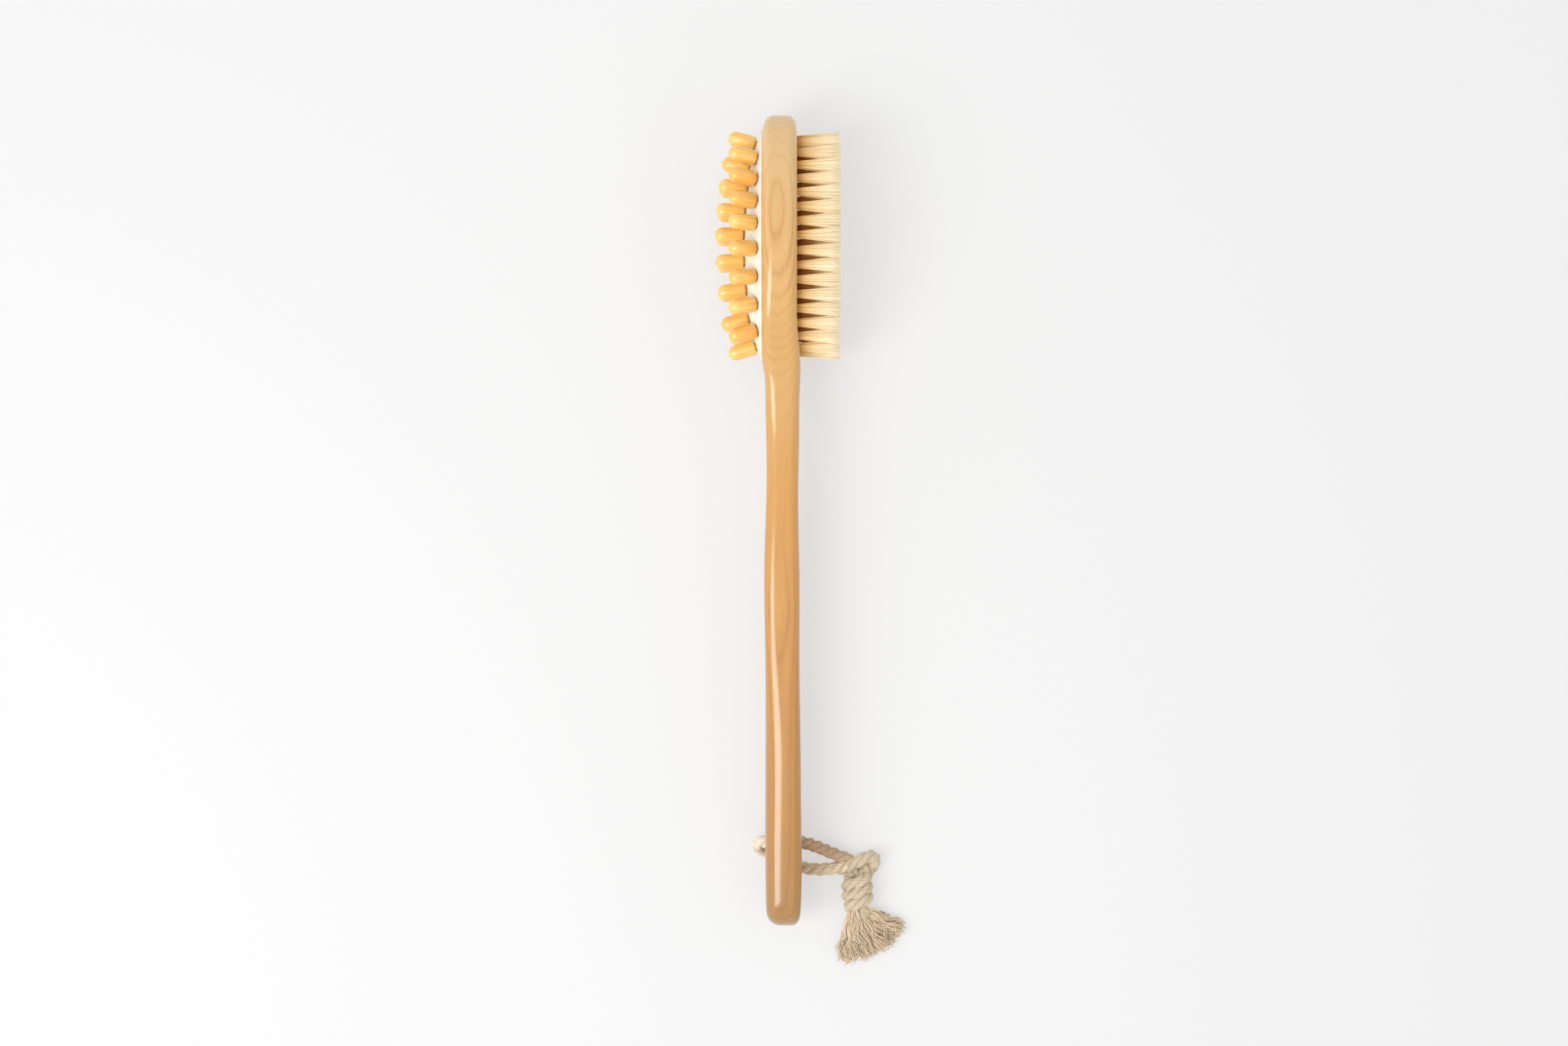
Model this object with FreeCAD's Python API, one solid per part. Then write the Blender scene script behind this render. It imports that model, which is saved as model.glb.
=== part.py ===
import FreeCAD, Part

import math
import os

# A two-sided body brush, in millimetres. It is drawn in its own straight frame first:
#   X  through the thickness of the wood: bristles on +X, massage pegs on -X
#   Y  along the brush: head tip at +Y, end of the grip at -Y
#   Z  across the width of the head
# set_down() then stands it on its long edge, head low edge on the floor and grip on the cord.

# ---- driving dimensions --------------------------------------------------------------------------
LENGTH = 410.0              # head tip to grip end
HEAD_LENGTH = 131.0
HEAD_WIDTH = 66.0
HEAD_HALF_THICKNESS = 8.8
NECK_WIDTH = 22.8
GRIP_WIDTH = 29.0
EDGE_ROUND = 5.0            # rounding of all the long edges

HOLE_RADIUS = 4.6           # hole for the cord, through the thickness
HOLE_FROM_END = 43.0
HOLE_RIM_ROUND = 1.3

CUSHION_LENGTH = 115.6
CUSHION_WIDTH = 50.0
CUSHION_RISE = 9.4          # crown above the rim
CUSHION_WALL = 1.8
RIM_PROUD = 0.6             # rim above the wood
RIM_DEPTH = 1.5             # rim let into the wood
RIM_WIDTH = 2.4
POCKET_DEPTH = 4.5          # air space under the cushion, below the face of the wood
RIM_GAP = 0.1

PEG_RADIUS = 4.15
PEG_HEIGHT = 14.4           # from the rubber to the tip
PEG_GAP = 0.4               # under the shoulder, so that the peg can rock
PEG_SHOULDER_ROUND = 1.5
STEM_RADIUS = 2.4
STEM_CLEARANCE = 0.3
FOOT_RADIUS = 3.4
FOOT_THICKNESS = 1.6
FOOT_GAP = 0.6
# Places along the head, from its middle, of the pegs on one side. The other side mirrors them.
OUTER_PEGS_Y = (42.0, 31.5, 20.5, 9.5, -3.0, -16.5, -30.0, -43.0)
INNER_PEGS_Y = (27.4, 16.0, 4.5, -8.3, -22.5)
INNER_PEGS_Z = (6.3, 7.0, 7.0, 7.0, 6.6)
OUTER_END_PEG_Y = 50.5
OUTER_PEG_OVAL = (51.5, 21.0)
INNER_END_PEGS_Y = (38.7, -37.0)

BRISTLE_LENGTH = 21.6
TUFT_ROOT_RADIUS = 1.9
TUFT_TIP_RADIUS = 3.2
TUFT_HOLE_DEPTH = 7.0
TUFT_PITCH = 7.35
TUFT_OVALS = {"outer": (53.5, 21.5), "second": (46.0, 14.2), "third": (35.0, 6.9)}
CENTRE_ROW_TUFTS = 3
ANCHOR = (2.6, 3.4, 0.5)    # along the tuft, across it, thickness

CORD_DIAMETER = 6.5
CORD_CONTACT_FROM_END = 30.0   # where the grip rests on the cord

# ---- sizes that follow ---------------------------------------------------------------------------
HEAD_Y = LENGTH / 2 - HEAD_LENGTH / 2
GRIP_END_Y = -LENGTH / 2
HOLE_Y = GRIP_END_Y + HOLE_FROM_END
HALF_CUSHION = (CUSHION_LENGTH / 2, CUSHION_WIDTH / 2)
HALF_POCKET = (HALF_CUSHION[0] - RIM_WIDTH, HALF_CUSHION[1] - RIM_WIDTH)
PEG_TIP_OUT = 23.4          # furthest peg tip, from the face of the wood
SIDE_SHIFT = (PEG_TIP_OUT - BRISTLE_LENGTH) / 2
REST_SPAN = HEAD_Y - GRIP_END_Y - CORD_CONTACT_FROM_END
TILT = math.asin((HEAD_WIDTH / 2 - GRIP_WIDTH / 2 - CORD_DIAMETER) / REST_SPAN)
LIFT = (math.hypot(HEAD_WIDTH / 2 * math.cos(TILT), HEAD_LENGTH / 2 * math.sin(TILT))
        - HEAD_Y * math.sin(TILT))

V = FreeCAD.Vector


def set_down(shape):
    """Stands a shape of the straight frame on the brush's long edge."""
    placed = shape.copy()
    placed.rotate(V(0, 0, 0), V(1, 0, 0), math.degrees(TILT))
    placed.translate(V(SIDE_SHIFT, 0, LIFT))
    return placed


def spline(points, start=None, end=None):
    """A smooth edge through a few points, with the direction at either end if it is given."""
    free = V(1, 0, 0)
    directions = [V(*start) if start else free] + [free] * (len(points) - 2) + [V(*end) if end else free]
    fixed = [bool(start)] + [False] * (len(points) - 2) + [bool(end)]
    curve = Part.BSplineCurve()
    curve.interpolate([V(*p) for p in points], Tangents=[d.normalize() for d in directions],
                      TangentFlags=fixed)
    return curve.toShape()


def oval_prism(half_length, half_width, x_low, x_high):
    """An upright oval block about the middle of the head, between two X planes."""
    middle = V(x_low, HEAD_Y, 0)
    ellipse = Part.Ellipse(V(x_low, HEAD_Y + half_length, 0), V(x_low, HEAD_Y, half_width), middle)
    face = Part.Face(Part.Wire(ellipse.toShape()))
    return face.extrude(V(x_high - x_low, 0, 0))


# ---- wooden body ---------------------------------------------------------------------------------
def plan_block():
    """The outline of head, neck and grip seen from the bristle side, as a thick block."""
    half_l, half_w, grip = HEAD_LENGTH / 2, HEAD_WIDTH / 2, GRIP_WIDTH / 2
    join = math.radians(122)
    join_y, join_z = HEAD_Y + half_l * math.cos(join), half_w * math.sin(join)
    slope = (0, -half_l * math.sin(join), half_w * math.cos(join))
    end_centre_y = GRIP_END_Y + grip
    head = Part.ArcOfEllipse(
        Part.Ellipse(V(0, HEAD_Y + half_l, 0), V(0, HEAD_Y, half_w), V(0, HEAD_Y, 0)), -join, join)
    side = [(0, join_y, join_z), (0, 82, 17.0), (0, 60, NECK_WIDTH / 2), (0, 15, 12.1),
            (0, -70, 14.0), (0, end_centre_y, grip)]
    far = [(0, y, -z) for _, y, z in side]
    end = Part.Arc(V(0, end_centre_y, grip), V(0, GRIP_END_Y, 0), V(0, end_centre_y, -grip))
    edges = [
        head.toShape(),
        spline(side, slope, (0, -1, 0)),
        end.toShape(),
        spline(far, (0, slope[1], -slope[2]), (0, -1, 0)),
    ]
    outline = Part.Wire(Part.__sortEdges__(edges))
    block = Part.Face(outline).extrude(V(60, 0, 0))
    block.translate(V(-30, 0, 0))
    return block


def side_block():
    """The outline seen from the edge: flat head, neck set over towards the bristles, full grip.
    It runs a little past both ends of the brush, where the plan outline closes it."""
    t, past = HEAD_HALF_THICKNESS, 4
    tip_y, end_y = LENGTH / 2, GRIP_END_Y
    flat_top, flat_foot = HEAD_Y + 50, HEAD_Y - 59
    z = -40
    tip = [(t, flat_top, z), (7.9, tip_y - 6, z), (6.3, tip_y, z), (4.4, tip_y + past, z)]
    bristle_side = [(t, flat_foot, z), (10.3, 71, z), (9.6, 52, z), (8.95, 16, z), (9.8, -66, z),
                    (10.7, -150, z), (10.5, -190, z), (8.6, end_y, z), (7.4, end_y - past, z)]
    peg_side = [(-t, flat_foot, z), (-7.5, 71, z), (-6.7, 52, z), (-6.5, 16, z), (-6.9, -66, z),
                (-7.2, -150, z), (-6.7, -190, z), (-5.1, end_y, z), (-3.9, end_y - past, z)]
    mirrored_tip = [(-x, y, z) for x, y, z in tip]
    edges = [
        spline(tip, (0, 1, 0)),
        spline(mirrored_tip, (0, 1, 0)),
        spline(bristle_side, (0, -1, 0)),
        spline(peg_side, (0, -1, 0)),
        Part.LineSegment(V(t, flat_top, z), V(t, flat_foot, z)).toShape(),
        Part.LineSegment(V(-t, flat_top, z), V(-t, flat_foot, z)).toShape(),
        Part.LineSegment(V(*tip[-1]), V(*mirrored_tip[-1])).toShape(),
        Part.LineSegment(V(*bristle_side[-1]), V(*peg_side[-1])).toShape(),
    ]
    outline = Part.Wire(Part.__sortEdges__(edges))
    return Part.Face(outline).extrude(V(0, 0, 80))


def is_seam(edge):
    """True for an edge between two faces that already meet smoothly: it runs straight through the
    thickness, or straight across the width."""
    middle = edge.tangentAt((edge.FirstParameter + edge.LastParameter) / 2)
    return abs(middle.x) > 0.95 or (edge.Curve.TypeId == "Part::GeomLine" and abs(middle.z) > 0.95)


def cord_hole():
    """The hole for the cord, its two rims rounded over so that they don't cut the cord."""
    hole = Part.makeCylinder(HOLE_RADIUS, 60, V(-30, HOLE_Y, 0), V(1, 0, 0))
    rims = []
    for face_x, outward in ((-7.15, -1), (10.75, 1)):
        wide = HOLE_RADIUS + HOLE_RIM_ROUND
        cone = Part.makeCone(HOLE_RADIUS, wide + 1, HOLE_RIM_ROUND + 1,
                             V(face_x - outward * HOLE_RIM_ROUND, HOLE_Y, 0), V(outward, 0, 0))
        rims.append(cone)
    return hole.multiFuse(rims)


def tuft_holes():
    start = HEAD_HALF_THICKNESS - TUFT_HOLE_DEPTH
    return Part.makeCompound([
        Part.makeCylinder(TUFT_ROOT_RADIUS, TUFT_HOLE_DEPTH + 1, V(start, y, z), V(1, 0, 0))
        for row in tuft_rows().values() for y, z in row
    ])


def wooden_body():
    """Head, neck and grip in one piece of wood."""
    stock = plan_block().common(side_block())
    stock = stock.makeFillet(EDGE_ROUND, [e for e in stock.Edges if not is_seam(e)])
    face = -HEAD_HALF_THICKNESS
    pocket = oval_prism(*HALF_POCKET, face - 1, face + POCKET_DEPTH)
    rebate = oval_prism(HALF_CUSHION[0] + RIM_GAP, HALF_CUSHION[1] + RIM_GAP, face - 1, face + RIM_DEPTH)
    stock = stock.cut(pocket.fuse(rebate)).cut(cord_hole()).cut(tuft_holes())
    return stock.Solids[0]


# ---- rubber cushion and massage pegs -------------------------------------------------------------
def cap_sphere(half_width, rise):
    """(radius, depth of the centre below the rim) of the sphere whose cap has this width and rise."""
    radius = (half_width ** 2 + rise ** 2) / (2 * rise)
    return radius, radius - rise


def cap(half_length, half_width, rise):
    """A domed cap on the peg side: a sphere's cap, stretched lengthwise to fit the oval."""
    radius, depth = cap_sphere(half_width, rise)
    ball = Part.makeSphere(radius, V(0, 0, 0))
    above = Part.makeBox(2 * radius, 4 * radius, 4 * radius, V(-2 * radius - depth, -2 * radius, -2 * radius))
    dome = ball.common(above)
    stretch = FreeCAD.Matrix()
    stretch.scale(1, half_length / half_width, 1)
    dome = dome.transformGeometry(stretch)
    dome.translate(V(depth - HEAD_HALF_THICKNESS - RIM_PROUD, HEAD_Y, 0))
    return dome


def peg_places():
    """(y, z) of every peg, from the middle of the head: outer oval first, then the inner ones."""
    half_y, half_z = OUTER_PEG_OVAL
    outer = [(y, half_z * math.sqrt(1 - (y / half_y) ** 2)) for y in OUTER_PEGS_Y]
    inner = list(zip(INNER_PEGS_Y, INNER_PEGS_Z))
    places = [(OUTER_END_PEG_Y, 0)] + outer + [(-OUTER_END_PEG_Y, 0)] + [(y, -z) for y, z in outer[::-1]]
    places += [(INNER_END_PEGS_Y[0], 0)] + inner + [(INNER_END_PEGS_Y[1], 0)]
    places += [(y, -z) for y, z in inner[::-1]]
    return places


def peg_stand(y, z):
    """(point on the rubber, outward direction) of the peg at y, z from the middle of the head."""
    radius, depth = cap_sphere(HALF_CUSHION[1], CUSHION_RISE)
    stretch = HALF_CUSHION[0] / HALF_CUSHION[1]
    high = math.sqrt(radius ** 2 - (y / stretch) ** 2 - z ** 2)
    point = V(-HEAD_HALF_THICKNESS - RIM_PROUD - (high - depth), HEAD_Y + y, z)
    outward = V(-high, y / stretch ** 2, z)
    return point, outward.normalize()


def rubber_cushion():
    """A hollow rubber dome with a flat rim, and a hole for each peg's stem."""
    outer = cap(*HALF_CUSHION, CUSHION_RISE)
    inner = cap(*HALF_POCKET, CUSHION_RISE - CUSHION_WALL)
    face = -HEAD_HALF_THICKNESS
    rim = oval_prism(*HALF_CUSHION, face - RIM_PROUD, face + RIM_DEPTH - RIM_GAP)
    bore = oval_prism(*HALF_POCKET, face - RIM_PROUD, face + RIM_DEPTH + 1)
    skin = outer.fuse(rim).cut(inner.fuse(bore))
    holes = []
    for y, z in peg_places():
        point, outward = peg_stand(y, z)
        holes.append(Part.makeCylinder(STEM_RADIUS + STEM_CLEARANCE, 12, point - outward * 6, outward))
    return skin.cut(Part.makeCompound(holes)).Solids[0]


def peg_blank():
    """One turned peg, standing up Z from the surface of the rubber: foot, stem, body, round tip."""
    r, low, high = PEG_RADIUS, PEG_GAP, PEG_HEIGHT
    waist = r - 0.25
    foot_top = -CUSHION_WALL - FOOT_GAP
    foot_low = foot_top - FOOT_THICKNESS
    shoulder = low + PEG_SHOULDER_ROUND
    inner = r - PEG_SHOULDER_ROUND
    corner = PEG_SHOULDER_ROUND * math.sqrt(0.5)
    tip_start = high - waist        # the tip is half a ball
    slant = waist * math.sqrt(0.5)
    turned = [
        Part.LineSegment(V(0, 0, foot_low), V(FOOT_RADIUS, 0, foot_low)),
        Part.LineSegment(V(FOOT_RADIUS, 0, foot_low), V(FOOT_RADIUS, 0, foot_top)),
        Part.LineSegment(V(FOOT_RADIUS, 0, foot_top), V(STEM_RADIUS, 0, foot_top)),
        Part.LineSegment(V(STEM_RADIUS, 0, foot_top), V(STEM_RADIUS, 0, low)),
        Part.LineSegment(V(STEM_RADIUS, 0, low), V(inner, 0, low)),
        Part.Arc(V(inner, 0, low), V(inner + corner, 0, shoulder - corner), V(r, 0, shoulder)),
        Part.LineSegment(V(r, 0, shoulder), V(waist, 0, tip_start)),
        Part.Arc(V(waist, 0, tip_start), V(slant, 0, tip_start + slant), V(0, 0, high)),
        Part.LineSegment(V(0, 0, high), V(0, 0, foot_low)),
    ]
    profile = Part.Face(Part.Wire([line.toShape() for line in turned]))
    return profile.revolve(V(0, 0, 0), V(0, 0, 1), 360)


def peg(blank, y, z):
    point, outward = peg_stand(y, z)
    placed = blank.copy()
    placed.Placement = FreeCAD.Placement(point, FreeCAD.Rotation(V(0, 0, 1), outward))
    return placed


# ---- bristle tufts -------------------------------------------------------------------------------
def around_oval(half_length, half_width, count):
    """count points at equal steps along an oval, starting at its head end."""
    fine = 720
    ring = [(half_length * math.cos(2 * math.pi * i / fine), half_width * math.sin(2 * math.pi * i / fine))
            for i in range(fine + 1)]
    lengths = [0.0]
    for (y0, z0), (y1, z1) in zip(ring, ring[1:]):
        lengths.append(lengths[-1] + math.hypot(y1 - y0, z1 - z0))
    points, i = [], 0
    for k in range(count):
        goal = lengths[-1] * k / count
        while lengths[i + 1] < goal:
            i += 1
        share = (goal - lengths[i]) / (lengths[i + 1] - lengths[i])
        points.append(tuple(a + (b - a) * share for a, b in zip(ring[i], ring[i + 1])))
    return points


def oval_length(a, b):
    return math.pi * (3 * (a + b) - math.sqrt((3 * a + b) * (a + 3 * b)))


def tuft_rows():
    """Row name -> (y, z) of its tufts in the straight frame. Ovals inside each other, then a line."""
    rows = {}
    for name, oval in TUFT_OVALS.items():
        count = 2 * round(oval_length(*oval) / TUFT_PITCH / 2)
        rows[name] = around_oval(*oval, count)
    half = (CENTRE_ROW_TUFTS - 1) / 2
    rows["centre"] = [((i - half) * TUFT_PITCH, 0.0) for i in range(CENTRE_ROW_TUFTS)]
    return {name: [(HEAD_Y + y, z) for y, z in row] for name, row in rows.items()}


def anchor_plate():
    """The flat metal anchor at the bottom of a tuft's hole, its root at the origin, along +X."""
    along, across, thick = ANCHOR
    return Part.makeBox(along, thick, across, V(0, -thick / 2, -across / 2))


def tuft_blank():
    """One tuft, its root at the origin, along +X: round in its hole, then spreading to the cut tips."""
    root = Part.makeCylinder(TUFT_ROOT_RADIUS, TUFT_HOLE_DEPTH, V(0, 0, 0), V(1, 0, 0))
    free = Part.makeCone(TUFT_ROOT_RADIUS, TUFT_TIP_RADIUS, BRISTLE_LENGTH,
                         V(TUFT_HOLE_DEPTH, 0, 0), V(1, 0, 0))
    return root.fuse(free).cut(anchor_plate())


def repeated(blank, places):
    """Copies of a blank at each place of a row, rooted at the bottom of the holes."""
    start = HEAD_HALF_THICKNESS - TUFT_HOLE_DEPTH
    copies = []
    for y, z in places:
        one = blank.copy()
        one.translate(V(start, y, z))
        copies.append(one)
    return copies


def tuft_nodes():
    """Each row of tufts is a node. The outer row is four nodes: two ends and two sides."""
    rows = tuft_rows()
    blank = tuft_blank()
    end_reach = TUFT_OVALS["outer"][0] * 0.8
    groups = {
        "head_end_tufts": [p for p in rows["outer"] if p[0] - HEAD_Y > end_reach],
        "neck_end_tufts": [p for p in rows["outer"] if HEAD_Y - p[0] > end_reach],
        "upper_side_tufts": [p for p in rows["outer"] if abs(p[0] - HEAD_Y) <= end_reach and p[1] > 0],
        "lower_side_tufts": [p for p in rows["outer"] if abs(p[0] - HEAD_Y) <= end_reach and p[1] < 0],
        "second_row_tufts": rows["second"],
        "third_row_tufts": rows["third"],
        "centre_row_tufts": rows["centre"],
    }
    nodes = {name: Part.makeCompound(repeated(blank, places)) for name, places in groups.items()}
    every = [place for row in rows.values() for place in row]
    nodes["tuft_anchor_plates"] = Part.makeCompound(repeated(anchor_plate(), every))
    return nodes


# ---- hanging cord, already in the frame of the standing brush ------------------------------------
CORD_ROUTE = (
    (37.5, -173.9, 5.2),    # in the knot
    (30.0, -171.2, 6.8),
    (22.0, -166.6, 13.0),
    (13.0, -162.6, 19.6),   # at the hole
    (3.5, -161.6, 22.0),
    (-6.0, -162.0, 21.6),
    (-10.4, -163.6, 17.4),  # over the peg side of the grip
    (-10.4, -166.9, 9.8),
    (-6.2, -170.4, 4.6),
    (1.5, -174.2, 3.3),     # under the grip
    (10.5, -178.0, 3.3),
    (19.5, -179.4, 3.6),
    (28.8, -178.8, 5.2),
    (37.5, -180.4, 8.5),    # in the knot
)
KNOT_LOW, KNOT_HIGH = (42.2, -198.6), (40.4, -174.0)    # ends of the long lump, on the floor
KNOT_RADIUS = 7.7
KNOT_TOP = (41.0, -177.0)       # where it bulges again, above the tie
KNOT_EAR = ((41.0, -176.0, 8.4), (48.4, -171.8, 8.2))
KNOT_EAR_RADIUS = 4.2
TASSEL_OUTLINE = ((37.0, -194.5), (32.5, -227.0), (48.0, -226.5), (62.5, -208.0), (45.5, -194.0))
TASSEL_HEIGHT = 7.5


def cord_path(points):
    """Straight runs joined by tangent arcs, each as large as its two runs allow. Prints the radii."""
    corners = [V(*p) for p in points]
    edges, here, radii = [], corners[0], []
    for before, corner, after in zip(corners, corners[1:], corners[2:]):
        back, on = before - corner, after - corner
        shorter = min(back.Length, on.Length)
        turn = math.pi - back.getAngle(on)
        cut = 0.45 * shorter
        radii.append(cut / math.tan(turn / 2))
        back.normalize()
        on.normalize()
        start, end = corner + back * cut, corner + on * cut
        sag = radii[-1] * (1 / math.cos(turn / 2) - 1)
        middle = corner + (back + on).normalize() * sag
        edges.append(Part.LineSegment(here, start).toShape())
        edges.append(Part.Arc(start, middle, end).toShape())
        here = end
    edges.append(Part.LineSegment(here, corners[-1]).toShape())
    print("cord arc radii, in diameters:", [round(r / CORD_DIAMETER, 1) for r in radii])
    return Part.Wire(edges)


def hanging_cord():
    """The loop of cord, from the knot through the hole, under the grip and back to the knot."""
    path = cord_path(CORD_ROUTE)
    start = V(*CORD_ROUTE[0])
    along = V(*CORD_ROUTE[1]) - start
    ring = Part.Wire(Part.Circle(start, along, CORD_DIAMETER / 2).toShape())
    tube = path.makePipeShell([ring], True, False)
    expected = math.pi * CORD_DIAMETER ** 2 / 4 * path.Length
    print("cord length", round(path.Length, 1), "volume over section times length",
          round(tube.Volume / expected, 4))
    return tube


def cord_knot():
    """Both strands tied together: a long lump turned about its own line, a round one at its top end,
    and the loop's ear standing out on one side."""
    low, high = (V(x, y, KNOT_RADIUS) for x, y in (KNOT_LOW, KNOT_HIGH))
    middle, along = (low + high) / 2, (high - low).normalize()
    side = along.cross(V(0, 0, 1))
    oval = Part.Ellipse(high, middle + side * KNOT_RADIUS, middle)
    outline = [Part.ArcOfEllipse(oval, 0, math.pi).toShape(), Part.LineSegment(low, high).toShape()]
    long_lump = Part.Face(Part.Wire(outline)).revolve(middle, along, 360)
    top = Part.makeSphere(KNOT_RADIUS, V(*KNOT_TOP, KNOT_RADIUS))
    start, end = (V(*p) for p in KNOT_EAR)
    ear = Part.makeCylinder(KNOT_EAR_RADIUS, (end - start).Length, start, end - start)
    ear = ear.fuse(Part.makeSphere(KNOT_EAR_RADIUS, end))
    return largest(long_lump.fuse(top).fuse(ear))


def cord_tassel():
    """The frayed ends, a flat fan that lies on the floor."""
    neck_a, corner_a, middle, corner_b, neck_b = (V(x, y, 0) for x, y in TASSEL_OUTLINE)
    edges = [
        Part.LineSegment(neck_a, corner_a).toShape(),
        Part.Arc(corner_a, middle, corner_b).toShape(),
        Part.LineSegment(corner_b, neck_b).toShape(),
        Part.LineSegment(neck_b, neck_a).toShape(),
    ]
    fan = Part.Face(Part.Wire(edges)).extrude(V(0, 0, TASSEL_HEIGHT))
    return fan.makeFillet(2.4, [e for e in fan.Edges if e.BoundBox.ZMin > TASSEL_HEIGHT - 0.01])


# ---- the whole brush -----------------------------------------------------------------------------
def largest(shape):
    """The main solid of a cut shape, without the ends that stood inside what cut it."""
    return max(shape.Solids, key=lambda solid: solid.Volume)


def build():
    """Node name -> shape, in the frame of the standing brush."""
    nodes = {"wooden_body": wooden_body(), "rubber_cushion": rubber_cushion()}
    blank = peg_blank()
    for number, (y, z) in enumerate(peg_places(), 1):
        nodes[f"massage_peg_{number:02d}"] = peg(blank, y, z)
    nodes.update(tuft_nodes())
    nodes = {name: set_down(shape) for name, shape in nodes.items()}
    knot = cord_knot()
    nodes["hanging_cord"] = largest(hanging_cord().cut(knot))
    nodes["cord_knot"] = knot
    nodes["cord_tassel"] = largest(cord_tassel().cut(knot))
    return nodes


os.makedirs("parts", exist_ok=True)
for node, shape in build().items():
    shape.exportStep(f"parts/{node}.step")
    box = shape.BoundBox
    print(f"{node:20s} valid {shape.isValid()} solids {len(shape.Solids):3d} volume {shape.Volume:10.1f}",
          [round(v, 1) for v in (box.XMin, box.XMax, box.YMin, box.YMax, box.ZMin, box.ZMax)])
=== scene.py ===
# %% [markdown]
# A two-sided body brush, standing on its long edge. One face of the head carries rows of natural
# bristle, the other a rubber cushion full of small wooden pegs. A cotton cord goes through the grip.
# The CAD model is loaded first as a fixed frame. Every finished piece then takes the place of its
# CAD node, and sits at the origin with its place in its mesh.

# %% Load the frame
import math

import bmesh
import bpy
import numpy as np
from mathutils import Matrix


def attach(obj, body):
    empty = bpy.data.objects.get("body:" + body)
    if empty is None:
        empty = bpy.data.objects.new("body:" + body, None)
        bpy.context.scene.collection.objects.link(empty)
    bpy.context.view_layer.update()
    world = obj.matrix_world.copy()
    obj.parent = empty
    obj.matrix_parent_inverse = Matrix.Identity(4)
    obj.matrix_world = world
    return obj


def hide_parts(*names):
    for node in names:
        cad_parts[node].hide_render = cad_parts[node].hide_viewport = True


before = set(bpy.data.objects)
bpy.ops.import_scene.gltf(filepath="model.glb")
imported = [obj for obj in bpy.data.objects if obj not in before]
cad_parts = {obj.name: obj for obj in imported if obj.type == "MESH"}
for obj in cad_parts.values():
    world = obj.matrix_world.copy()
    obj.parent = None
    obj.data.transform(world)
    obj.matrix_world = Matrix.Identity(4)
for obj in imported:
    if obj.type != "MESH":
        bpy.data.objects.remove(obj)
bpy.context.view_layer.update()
scene = bpy.context.scene

# %% [markdown]
# The camera looks straight down from just over a metre, with the head at the top of the picture. The
# lens is 50 mm on a 36 mm sensor, so the brush fills about three quarters of the height.

# %% Camera
CAMERA_HEIGHT = 1.130
CAMERA_X = 0.0032

camera_data = bpy.data.cameras.new("camera")
camera_data.lens = 50
camera_data.sensor_width = 36
camera = bpy.data.objects.new("camera", camera_data)
camera.location = (CAMERA_X, 0, CAMERA_HEIGHT)
scene.collection.objects.link(camera)
scene.camera = camera
print("camera at", tuple(camera.location))

# %% [markdown]
# The brush is easiest to describe in its own straight frame, in millimetres: X through the thickness
# with the bristles on +X, Y along the brush with the head at +Y, Z across the width. Setting it down
# turns it about X until the head's low edge touches the floor and the grip rests on the cord.

# %% Sizes and the straight frame
LENGTH, HEAD_LENGTH, HEAD_WIDTH = 410.0, 131.0, 66.0
HALF_THICK = 8.8
GRIP_RADIUS = 14.5
CORD_DIAMETER = 6.5
HEAD_Y = LENGTH / 2 - HEAD_LENGTH / 2
GRIP_CENTRE_Y = GRIP_RADIUS - LENGTH / 2
HOLE_FROM_END = 43.0
HOLE_Y = HOLE_FROM_END - LENGTH / 2
BRISTLE_LENGTH = 21.6
PEG_TIP_OUT = 23.4
SIDE_SHIFT = (PEG_TIP_OUT - BRISTLE_LENGTH) / 2
# The grip rests on its cord this far from its end.
CORD_CONTACT = 30.0
TILT = math.asin((HEAD_WIDTH / 2 - GRIP_RADIUS - CORD_DIAMETER) / (HEAD_Y + LENGTH / 2 - CORD_CONTACT))
LIFT = (math.hypot(HEAD_WIDTH / 2 * math.cos(TILT), HEAD_LENGTH / 2 * math.sin(TILT))
        - HEAD_Y * math.sin(TILT))


def set_down(points):
    """Straight-frame millimetres to row-frame metres: a turn about X by the tilt, y' = y cos - z sin and
    z' = y sin + z cos, then a shift sideways and up."""
    x, y, z = np.moveaxis(np.asarray(points, float), -1, 0)
    turned = (x + SIDE_SHIFT, y * math.cos(TILT) - z * math.sin(TILT),
              y * math.sin(TILT) + z * math.cos(TILT) + LIFT)
    return np.stack(turned, axis=-1) * 0.001


print("tilt", round(math.degrees(TILT), 3), "degrees, lift", round(LIFT, 2), "mm")

# %% [markdown]
# Every piece is made by a few small helpers. One turns points and faces into an object, and two give
# the faces of a grid and their UV map. One carries round tubes along many lines at once, for hairs,
# strands and yarns. For the finishes, one adds a shader node, and one turns a hex colour from sRGB into
# the linear values that shaders use.

# %% Mesh helpers
def make_piece(name, points, faces, body, uv=None):
    """One smooth mesh object from points in metres and lists of corner numbers, riding on a body. uv
    holds one pair for each corner of each face, in the faces' order."""
    mesh = bpy.data.meshes.new(name)
    mesh.from_pydata(points.reshape(-1, 3), [], faces)
    if uv is not None:
        mesh.uv_layers.new(name="UVMap").data.foreach_set("uv", uv.astype(np.float32).ravel())
    mesh.polygons.foreach_set("use_smooth", np.full(len(mesh.polygons), True))
    piece = bpy.data.objects.new(name, mesh)
    scene.collection.objects.link(piece)
    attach(piece, body)
    return piece


def grid_faces(rows, columns, closed):
    """Corner numbers of the quads of a grid with that many rows and columns of points. Where it is
    closed, the last column joins the first."""
    row, column = np.meshgrid(np.arange(rows - 1), np.arange(columns if closed else columns - 1),
                              indexing="ij")
    beside = (column + 1) % columns
    corners = (row * columns + column, row * columns + beside,
               (row + 1) * columns + beside, (row + 1) * columns + column)
    return np.stack(corners, axis=-1).reshape(-1, 4)


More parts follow.
